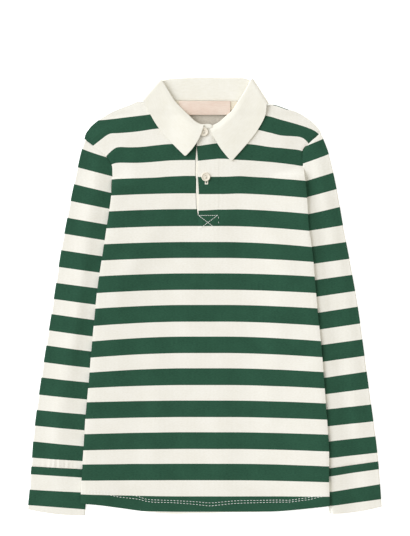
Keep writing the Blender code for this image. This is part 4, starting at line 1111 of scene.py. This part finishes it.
# Parts of the stand, the roll's turn in degrees, and parts of the fall at which the
# collar's section has points.
STAND_PARTS = np.linspace(1.0, 0.0, 9)[:-1]
ROLL_TURNS = np.linspace(-90.0, 90.0, 11)
FALL_PARTS = (*np.linspace(0.0, 0.94, 20)[1:], 0.97, 0.985, 1.0)
ROLL_POINT = len(STAND_PARTS) + len(ROLL_TURNS) // 2
# The station whose section gives the collar's depth to its cloth coordinates.
MEASURED_STATION = 20


def front_stations(side):
    """Stations of one leaf: roll, stand seam, leaf edge, roll direction, tilt and bow."""
    half = HALVES[side]
    parts = stepped((0.0, 0.09, 13), (0.09, 1.0, 44))
    leaf_length = np.linalg.norm(np.diff(half.leaf, axis=0), axis=1).sum()
    tip = LEAF_TIP[side]
    stations = []
    for f in parts:
        place = along(half.roll, f)
        tangent = along(half.roll, min(f + 0.03, 1.0)) - along(half.roll, max(f - 0.03, 0.0))
        out = unit(np.array([tangent[1], -tangent[0]]))
        out = out if out[1] > 0.0 else -out
        out = unit(mix(out, -half.down, ease((f - 0.6) / 0.4)))
        bow = LEAF_BOW[side] * fade(f / 0.45)
        edge = along(half.leaf, f)
        reached = f * leaf_length
        if reached < tip:
            back = unit(place - edge)
            rounding = 1.0 - math.sqrt(1.0 - (1.0 - reached / tip) ** 2)
            edge = edge + back * tip * 0.8 * rounding
        stations.append((place, along(half.stand, f), edge, out, 0.0, bow, side))
    return stations


def corner_stations(side):
    """Stations round the corner where a leaf turns over into the back fall."""
    half = HALVES[side]
    return [
        (half.top, half.stand_end, half.leaf_end, -half.down, angle, 0.0, side)
        for angle in np.linspace(0.0, 180.0, 15)[1:-1]
    ]


def back_stations():
    """Stations across the back, whose fall is folded under the neck."""
    lines = curve_through(plan(BACK_ROLL)), BACK_SEAM_CURVE, curve_through(plan(BACK_EDGE))
    stations = []
    for f in np.linspace(0.0, 1.0, 45):
        side = "right" if f < 0.5 else "left"
        towards = ease(min(f, 1.0 - f) / 0.15)
        out = unit(mix(-HALVES[side].down, np.array([0.0, 1.0]), towards))
        stations.append((*(along(line, f) for line in lines), out, 180.0, 0.0, side))
    return stations


def placket_rise(x, reach):
    """How far a leaf is raised by the placket under it."""
    from_right = ease((x - SLIT["right"] + LEAF_CLIMB_START) / LEAF_CLIMB)
    from_left = ease((SLIT["left"] + LEAF_CLIMB_START - x) / LEAF_CLIMB)
    return LEAF_OVER_PLACKET * from_right * from_left * ease(reach / LEAF_CLIMB_REACH)


def button_lift(spot, side):
    """How far the wearer's right leaf is raised over the top button."""
    if side == "left":
        return 0.0
    clear = np.linalg.norm(spot - np.array(BUTTONS["button_neck"])) - BUTTON_RADIUS
    return BUTTON_LIFT * fade(clear / BUTTON_LIFT_REACH)


def collar_section(station):
    """Middle line and facing of the collar's wall at one station."""
    place, seam, edge, out, degrees, bow, side = station
    tilt = math.radians(degrees)
    corner_out = HALVES[side].out
    facing = np.array([*(corner_out * math.sin(tilt)), math.cos(tilt)])
    rolled = np.array([*out, 0.0])
    fronting = max(math.cos(tilt), 0.0)
    line = [(mix(place, seam, t), facing * STAND_HALF, -facing, 0.0) for t in STAND_PARTS]
    for turn in ROLL_TURNS:
        angle = math.radians(turn)
        radial = rolled * math.cos(angle) + facing * math.sin(angle)
        rise = button_lift(place, side) * (1.0 + math.sin(angle)) / 2
        offset = facing * (STAND_HALF + ROLL_RADIUS) + radial * ROLL_RADIUS
        line.append((place, offset, radial, rise))
    fall = edge - place
    reach = np.linalg.norm(fall)
    sideways = unit(np.array([-fall[1], fall[0]])) * -SIGN[side]
    for t in FALL_PARTS:
        spot = place + fall * t + sideways * (bow * 4.0 * t * (1.0 - t))
        rise = placket_rise(spot[0], reach * t) + button_lift(spot, side)
        line.append((spot, facing * (STAND_HALF + PLY), facing, rise))
    middle = [
        (at[0] + offset[0], at[1] + offset[1],
         LAYER_MIDDLE + offset[2] + (rise + neck_front_extra(at[1])) * fronting)
        for at, offset, _, rise in line
    ]
    return np.array(middle), np.array([normal for _, _, normal, _ in line])


def make_collar():
    stations = front_stations("right") + corner_stations("right")
    back = back_stations()
    left = front_stations("left") + corner_stations("left")
    sections = [collar_section(s) for s in stations + back + left[::-1]]
    middle = np.array([m for m, _ in sections])
    facing = np.array([n for _, n in sections])
    top, low = middle + facing * CLOTH / 2, middle - facing * CLOTH / 2
    down, across = (
        np.concatenate([[0.0], np.cumsum(np.linalg.norm(np.diff(line, axis=0), axis=1))])
        for line in (middle[MEASURED_STATION], middle[:, ROLL_POINT])
    )
    uv = np.stack(np.meshgrid(across, down, indexing="ij"), -1)
    return cloth_wall("collar_cloth", top, low, uv, TWILL)


# ---------------------------------------------------------------------------
# Placket, tape and label

def band_grid(left, right_x, bottom, columns, rows):
    """Plan grid of a band from its bottom to its upper end, with a wavering left edge."""
    top = curve_through(plan(PLACKET_TOP), 6)
    t = np.linspace(0.0, 1.0, columns)[None]
    down = np.linspace(0.0, 1.0, rows)[:, None]
    x = mix(left[0][1], right_x, t)
    y = bottom + (np.interp(x, top[:, 0], top[:, 1]) - bottom) * down
    return np.stack([mix(in_table(left, 1, y), right_x, t), y], -1)


# At its seam the covering band reaches over the front's edge by BAND_OVERLAP. It comes down
# to the front over these distances at its seam, its foot and its free edge.
BAND_OVERLAP = 0.7
BAND_SEAM_EASE = 11.0
BAND_FOOT_EASE = 9.0
BAND_EDGE_EASE = 6.0
# Small distances that keep it clear of the front, and the facing clear of the slit's edge.
BAND_CLEARANCE = 0.03
SLIT_CLEARANCE = 0.5


def cover_height(x, y):
    """The covering band is level with the front at its seam and all round its foot."""
    from_seam = ease((SLIT["left"] + 0.4 - x) / BAND_SEAM_EASE)
    lift = mix(from_seam, 1.0, fade((y - LOFT_TOP) / LOFT_TOP_EASE))
    lift = lift * ease((y - BAND_BOTTOM) / BAND_FOOT_EASE)
    over_slit = ease((y - SLIT_BOTTOM) / BAND_STEP_LENGTH)
    from_edge = ease((x - in_table(COVER_LINE, 1, y)) / BAND_EDGE_EASE)
    lift = lift * mix(from_edge, 1.0, over_slit)
    raised = np.maximum((PLY + BAND_SPARE) * lift, placket_loft(x, y))
    under_leaves = UNDER_LEAVES * ease((y - LEAVES_START) / 2.5)
    tab = TAB_LIFT * ease((y - TAB_START) / 0.5)
    bulge_x, bulge_y, across, along_y, height = NECK_BULGE
    bulge = height * np.exp(-(((x - bulge_x) / across) ** 2) - ((y - bulge_y) / along_y) ** 2)
    return front_level(x, y) + BAND_CLEARANCE + raised - under_leaves + tab + bulge


def make_placket():
    slit = tuple((y, x + SLIT_CLEARANCE) for y, x in SLIT_LINE)
    facing = band_grid(slit, FACING_RIGHT, SLIT_BOTTOM + GAP, 14, 70)
    inner = laid("placket_facing_cloth", facing, front_level, CLOTH, None, FACING)
    cover = band_grid(COVER_LINE, SLIT["left"] + BAND_OVERLAP, BAND_BOTTOM, 30, 130)
    outer = laid("placket_cover_cloth", cover, cover_height, CLOTH, placket_stripe, JERSEY)
    # The stand's button tab is of the collar's twill.
    outer.data.materials.append(TWILL)
    for face in outer.data.polygons:
        if face.center.y > TAB_START * MM:
            face.material_index = 1
    return inner, outer


# Cells of the tape and the label: rows, columns.
TAPE_CELLS, LABEL_CELLS = (12, 60), (22, 50)


def make_neck_trims():
    x = np.linspace(-TAPE_HALF_LENGTH, TAPE_HALF_LENGTH, TAPE_CELLS[1])
    top = np.interp(x, BACK_SEAM_CURVE[:, 0], BACK_SEAM_CURVE[:, 1]) - GAP
    t = np.linspace(1.0, 0.0, TAPE_CELLS[0])[:, None]
    grid = np.stack([np.broadcast_to(x, TAPE_CELLS), top[None] - TAPE_WIDTH * t], -1)
    tape = laid("neck_tape_cloth", grid, over_back, TRIM, None, TAPE)
    x0, y0, x1, y1 = LABEL_BOX
    rows, columns = LABEL_CELLS
    grid = np.stack(np.meshgrid(np.linspace(x0, x1, columns), np.linspace(y0, y1, rows)), -1)

    def label_floor(x, y):
        # Its lower edge is loose and waves a little.
        loose = ease((y1 - 3.0 - y) / 12.0) * 0.25 * np.sin(x * 0.16) ** 2
        return over_back(x, y) + TRIM + GAP + loose

    label = laid(
        "label_cloth", grid, label_floor, LABEL_WALL, None, LABEL, rounding=LABEL_ROUNDING
    )
    return tape, label


# ---------------------------------------------------------------------------
# Buttons and sewing

def select_faces(piece, wanted):
    """Select the faces of the piece in edit mode that pass a test."""
    shaped = bmesh.from_edit_mesh(piece.data)
    for face in shaped.faces:
        face.select_set(wanted(face))
    shaped.select_flush(True)
    bmesh.update_edit_mesh(piece.data)


# A button: thickness, rim, the step down to its dish, the dish's depth and rounded edges;
# and its two holes: radius, distance from the middle, and the lean of the line through them.
BUTTON_THICK = 2.0
BUTTON_RIM = 1.25
BUTTON_STEP, BUTTON_DISH = (0.45, 0.55), (1.2, 0.08)
BUTTON_ROUNDING = 0.55
HOLE_RADIUS = 0.85
HOLE_AWAY = 1.3
HOLE_LEAN = 0.3


def make_button(name, place, height):
    """A moulded two-hole button with a raised rim and a sunk middle."""
    bpy.ops.object.select_all(action="DESELECT")
    z = (height + BUTTON_THICK / 2) * MM
    bpy.ops.mesh.primitive_cylinder_add(
        vertices=64, radius=BUTTON_RADIUS * MM, depth=BUTTON_THICK * MM,
        location=(place[0] * MM, place[1] * MM, z),
    )
    button = bpy.context.object
    button.name = name
    bpy.ops.object.transform_apply(location=True, rotation=True, scale=True)
    bpy.ops.object.mode_set(mode="EDIT")
    bpy.ops.mesh.select_mode(type="FACE")
    select_faces(button, lambda f: f.normal.z > 0.9)
    for width, depth in ((BUTTON_RIM, 0.0), BUTTON_STEP, BUTTON_DISH):
        bpy.ops.mesh.inset(thickness=width * MM, depth=-depth * MM)
    bpy.ops.mesh.select_mode(type="EDGE")
    bpy.ops.mesh.select_all(action="DESELECT")
    bpy.ops.mesh.edges_select_sharp(sharpness=math.radians(50.0))
    bpy.ops.mesh.bevel(
        offset=BUTTON_ROUNDING * MM, segments=4, affect="EDGES", clamp_overlap=True
    )
    bpy.ops.object.mode_set(mode="OBJECT")
    for step in (HOLE_AWAY, -HOLE_AWAY):
        bpy.ops.mesh.primitive_cylinder_add(
            vertices=24, radius=HOLE_RADIUS * MM, depth=4 * BUTTON_THICK * MM,
            location=((place[0] - step * HOLE_LEAN) * MM, (place[1] + step) * MM, z),
        )
        drill = bpy.context.object
        cut = button.modifiers.new("thread hole", "BOOLEAN")
        cut.object, cut.operation = drill, "DIFFERENCE"
        bpy.context.view_layer.objects.active = button
        bpy.ops.object.modifier_apply(modifier=cut.name)
        bpy.data.objects.remove(drill, do_unlink=True)
    button.data.materials.append(BUTTON)
    bpy.context.view_layer.objects.active = button
    bpy.ops.object.select_all(action="DESELECT")
    button.select_set(True)
    bpy.ops.object.shade_smooth_by_angle(angle=math.radians(35.0))
    return button


# A stitch's section has this many corners, and its rings these widths.
STITCH_CORNERS = 6
STITCH_WIDTHS = (0.55, 0.95, 1.0, 1.0, 0.95, 0.55)


def stitch_shape():
    """One short length of thread that dips into the cloth at both ends, 1 mm long."""
    n = STITCH_CORNERS
    angle = np.linspace(0.0, math.tau, n + 1)[:-1]
    rings = []
    for part, wide in zip(np.linspace(-0.5, 0.5, len(STITCH_WIDTHS)), STITCH_WIDTHS):
        high = 1.0 - (abs(part) * 2.0) ** 3 * 1.4
        across, up = np.cos(angle) * 0.5 * wide, np.sin(angle) * 0.5 * wide
        rings.append(np.stack([np.full(n, part), across, up + high * 0.5], 1))
    points = np.concatenate(rings)
    faces = [(i * n + k, i * n + (k + 1) % n, (i + 1) * n + (k + 1) % n, (i + 1) * n + k)
             for i in range(len(rings) - 1) for k in range(n)]
    ends = [tuple(range(n - 1, -1, -1)), tuple(range(len(points) - n, len(points)))]
    return points, faces + ends


STITCH_POINTS, STITCH_FACES = stitch_shape()


def sew(name, spots, thread, material):
    """Copy the stitch to each spot: middle, direction and length, as one piece of sewing."""
    points, faces = [], []
    for k, (middle, direction, length) in enumerate(spots):
        forward = unit(np.asarray(direction, float))
        side = unit(np.cross((0.0, 0.0, 1.0), forward))
        up = np.cross(forward, side)
        local = STITCH_POINTS * (length, thread, thread)
        points.append(middle + local @ np.stack([forward, side, up]))
        base = k * len(STITCH_POINTS)
        faces += [tuple(base + i for i in f) for f in STITCH_FACES]
    points = np.concatenate(points)
    return finish_mesh(name, points, faces, points[:, :2], material, 0.0)


def stitch_line(line, surface, pitch, length, sink=0.05):
    """Spots of running stitches along a plan line on a surface."""
    line = np.asarray(line, float)
    total = np.linalg.norm(np.diff(line, axis=0), axis=1).sum()
    count = max(int(total / pitch), 1)
    half = length / pitch / 2
    spots = []
    for k in range(count):
        ends = along(line, np.array([k + 0.5 - half, k + 0.5 + half]) / count)
        z = surface(ends[:, 0], ends[:, 1]) - sink
        a, b = np.column_stack([ends, z])
        spots.append(((a + b) / 2, b - a, np.linalg.norm(b - a)))
    return spots


def front_top(x, y):
    return front_height(x, y) + CLOTH


def cover_top(x, y):
    return cover_height(x, y) + CLOTH


# Stitches of the hem, of the box at the placket's foot, and of its two fainter sides:
# spacing, length and thickness of the thread.
HEM_STITCH = (4.0, 2.5, 0.6)
BOX_STITCH = (2.3, 1.9, 0.6)
BOX_SIDE_STITCH = (4.4, 1.6, 0.5)
# The box's corners, and the lower buttonhole's distance from the centre line and ends.
BOX = (-8.0, 85.6, 15.3, 103.1)
BUTTONHOLE = (1.9, 143.0, 156.0)
# The hem's two rows of stitches.
HEM_ROWS = (
    ((-155.0, -241.0), (-131, -241.5), (-108.6, -244.5), (-93.4, -246.3), (-86, -247.4),
     (-78.6, -249.8), (-73.4, -251.6), (-56.8, -252.6), (-34.8, -253.5), (-8.5, -255.0),
     (5.6, -256.2), (20, -255.2), (38, -253.6), (70.6, -253.0), (90, -252.6), (105, -252.6),
     (118, -250.6), (131, -248.6), (141, -246.0), (155.0, -244.0)),
    ((-155.0, -243.5), (-131, -244.0), (-118.7, -246.0), (-108.6, -248.3), (-100.5, -249.4),
     (-89, -250.8), (-81.3, -252.0), (-75.1, -253.8), (-64.6, -255.3), (-43.5, -255.8),
     (-21.6, -257.3), (-8.5, -258.5), (5.6, -259.9), (20, -258.6), (38, -256.9),
     (70.6, -255.8), (90, -255.2), (105, -255.0), (120, -252.8), (131, -251.2), (141, -248.5),
     (155.0, -246.0)),
)


def sew_lines(name, lines, surface, stitch):
    """One piece of sewing along plan lines."""
    pitch, length, thread = stitch
    spots = []
    for line in lines:
        spots += stitch_line(line, surface, pitch, length)
    return sew(name, spots, thread, THREAD)


def make_sewing():
    """The hem's rows, the box stitch's upper side and cross, and its other two sides."""
    rows = [curve_through(plan(row)) for row in HEM_ROWS]
    x0, y0, x1, y1 = BOX
    cross = (((x0, y1), (x1, y1)), ((x0, y1), (x1, y0)), ((x1 + 1.0, y1 + 0.6), (x0, y0)))
    sides = (((x0, y0), (x1, y0)), ((x1 + 1.6, y0), (x1 + 1.6, y1)))
    return (
        sew_lines("hem_stitching", rows, front_top, HEM_STITCH),
        sew_lines("box_stitching", cross, cover_top, BOX_STITCH),
        sew_lines("box_sides_stitching", sides, cover_top, BOX_SIDE_STITCH),
    )


def buttonhole(name, place, surface):
    """A slit bound with close stitches across both of its lips and bars at its ends."""
    x, low, high = place

    def height(y):
        return float(surface(np.array([x]), np.array([y]))[0])

    spots = []
    for y in np.arange(low, high, 0.55):
        for lip in (-1.35, 1.35):
            spots.append((np.array([x + lip, y, height(y) - 0.05]), (1.0, 0.12, 0.0), 1.7))
    for y in (low - 0.5, high + 0.3):
        for step in (-0.4, 0.0, 0.4):
            spots.append((np.array([x, y + step, height(y) - 0.03]), (1.0, 0.0, 0.0), 4.2))
    return sew(name, spots, 0.5, BUTTONHOLE_THREAD)


def button_thread(name, place, height):
    """Two strands between the button's holes."""
    spots = []
    for shift in (-0.28, 0.28):
        middle = np.array([place[0] + shift, place[1], height + 1.5])
        spots.append((middle, (-HOLE_LEAN, 1.0, 0.0), 3.2))
    return sew(name, spots, 0.55, BUTTONHOLE_THREAD)


# ---------------------------------------------------------------------------
# The shirt

def place_on_shirt(piece):
    """Nothing on the shirt moves, so every piece rides on its one body."""
    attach(piece, "root")


def show(piece, node):
    """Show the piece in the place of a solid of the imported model."""
    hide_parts(node)
    place_on_shirt(piece)


front = make_front()
show(front, "front")
back = make_back()
show(back, "back")
sleeves, cuffs = {}, {}
for side in SIDES:
    sleeves[side] = make_sleeve(side)
    show(sleeves[side], "sleeve_" + side)
    cuffs[side] = make_cuff(side)
    show(cuffs[side], "cuff_" + side)
collar = make_collar()
show(collar, "collar")
facing, cover = make_placket()
show(facing, "placket_facing")
show(cover, "placket_cover")
tape, label = make_neck_trims()
show(tape, "neck_tape")
show(label, "label")

# Each button lies on the highest cloth under it.
for name, place in BUTTONS.items():
    under = np.array([(place[0] + dx, place[1] + dy) for dx in (-5, 0, 5) for dy in (-5, 0, 5)])
    height = float(cover_top(under[:, 0], under[:, 1]).max()) + 0.05
    button = make_button(name + "_moulded", place, height)
    show(button, name)
    place_on_shirt(button_thread(name + "_thread", place, height))
for sewing in make_sewing():
    place_on_shirt(sewing)
place_on_shirt(buttonhole("placket_buttonhole", BUTTONHOLE, cover_top))

# ---------------------------------------------------------------------------
# Studio: a white table, a large soft light from the upper left and even fill

FLOOR_SIZE = 6.0
FLOOR_CLEARANCE = 0.00005
FLOOR_GLOW = 0.55
FILL_COLOUR, FILL_STRENGTH = (1.0, 0.97, 0.905, 1.0), 0.65
KEY_COLOUR, KEY_STRENGTH = (0.985, 1.02, 1.1), 2.35
KEY_DIRECTION, KEY_ANGLE = (0.92, -0.39, -0.62), 50.0
# The camera looks straight down. Its frame is 670 mm tall on the shirt, whose middle ply is
# 4 mm up, and its middle is 37.5 mm towards the collar.
CAMERA_DISTANCE = 2.0
FRAME_TALL = 0.670
FRAME_MIDDLE = (0.0, 0.0375, 0.004)
SENSOR = 36.0

bpy.ops.mesh.primitive_plane_add(size=FLOOR_SIZE, location=(0.0, 0.0, -FLOOR_CLEARANCE))
floor = bpy.context.object
floor.name = "floor"
# Opal acrylic lit from below, as under a cut-out: shadows on it fade to white.
acrylic, tree, shader = new_material("opal light table", 0.6)
shader.inputs["Base Color"].default_value = linear("#fdfdfd")
shader.inputs["Emission Color"].default_value = linear("#ffffff")
shader.inputs["Emission Strength"].default_value = FLOOR_GLOW
shader.inputs["Specular IOR Level"].default_value = 0.0
floor.data.materials.append(acrylic)

world = bpy.data.worlds.new("soft studio")
bpy.context.scene.world = world
world.use_nodes = True
world.node_tree.nodes["Background"].inputs[0].default_value = FILL_COLOUR
world.node_tree.nodes["Background"].inputs[1].default_value = FILL_STRENGTH

# One large softbox, so far away that its light is even.
data = bpy.data.lights.new("key softbox", "SUN")
data.angle = math.radians(KEY_ANGLE)
data.energy = KEY_STRENGTH
data.color = KEY_COLOUR
key = bpy.data.objects.new("key softbox", data)
key.rotation_euler = Vector(KEY_DIRECTION).to_track_quat("-Z", "Y").to_euler()
bpy.context.scene.collection.objects.link(key)

camera_data = bpy.data.cameras.new("camera")
camera_data.lens = SENSOR * CAMERA_DISTANCE / FRAME_TALL
camera_data.clip_end = 20.0
camera = bpy.data.objects.new("camera", camera_data)
camera.location = Vector(FRAME_MIDDLE) + Vector((0.0, 0.0, CAMERA_DISTANCE))
bpy.context.scene.collection.objects.link(camera)
bpy.context.scene.camera = camera
bpy.context.scene.view_settings.view_transform = "Standard"
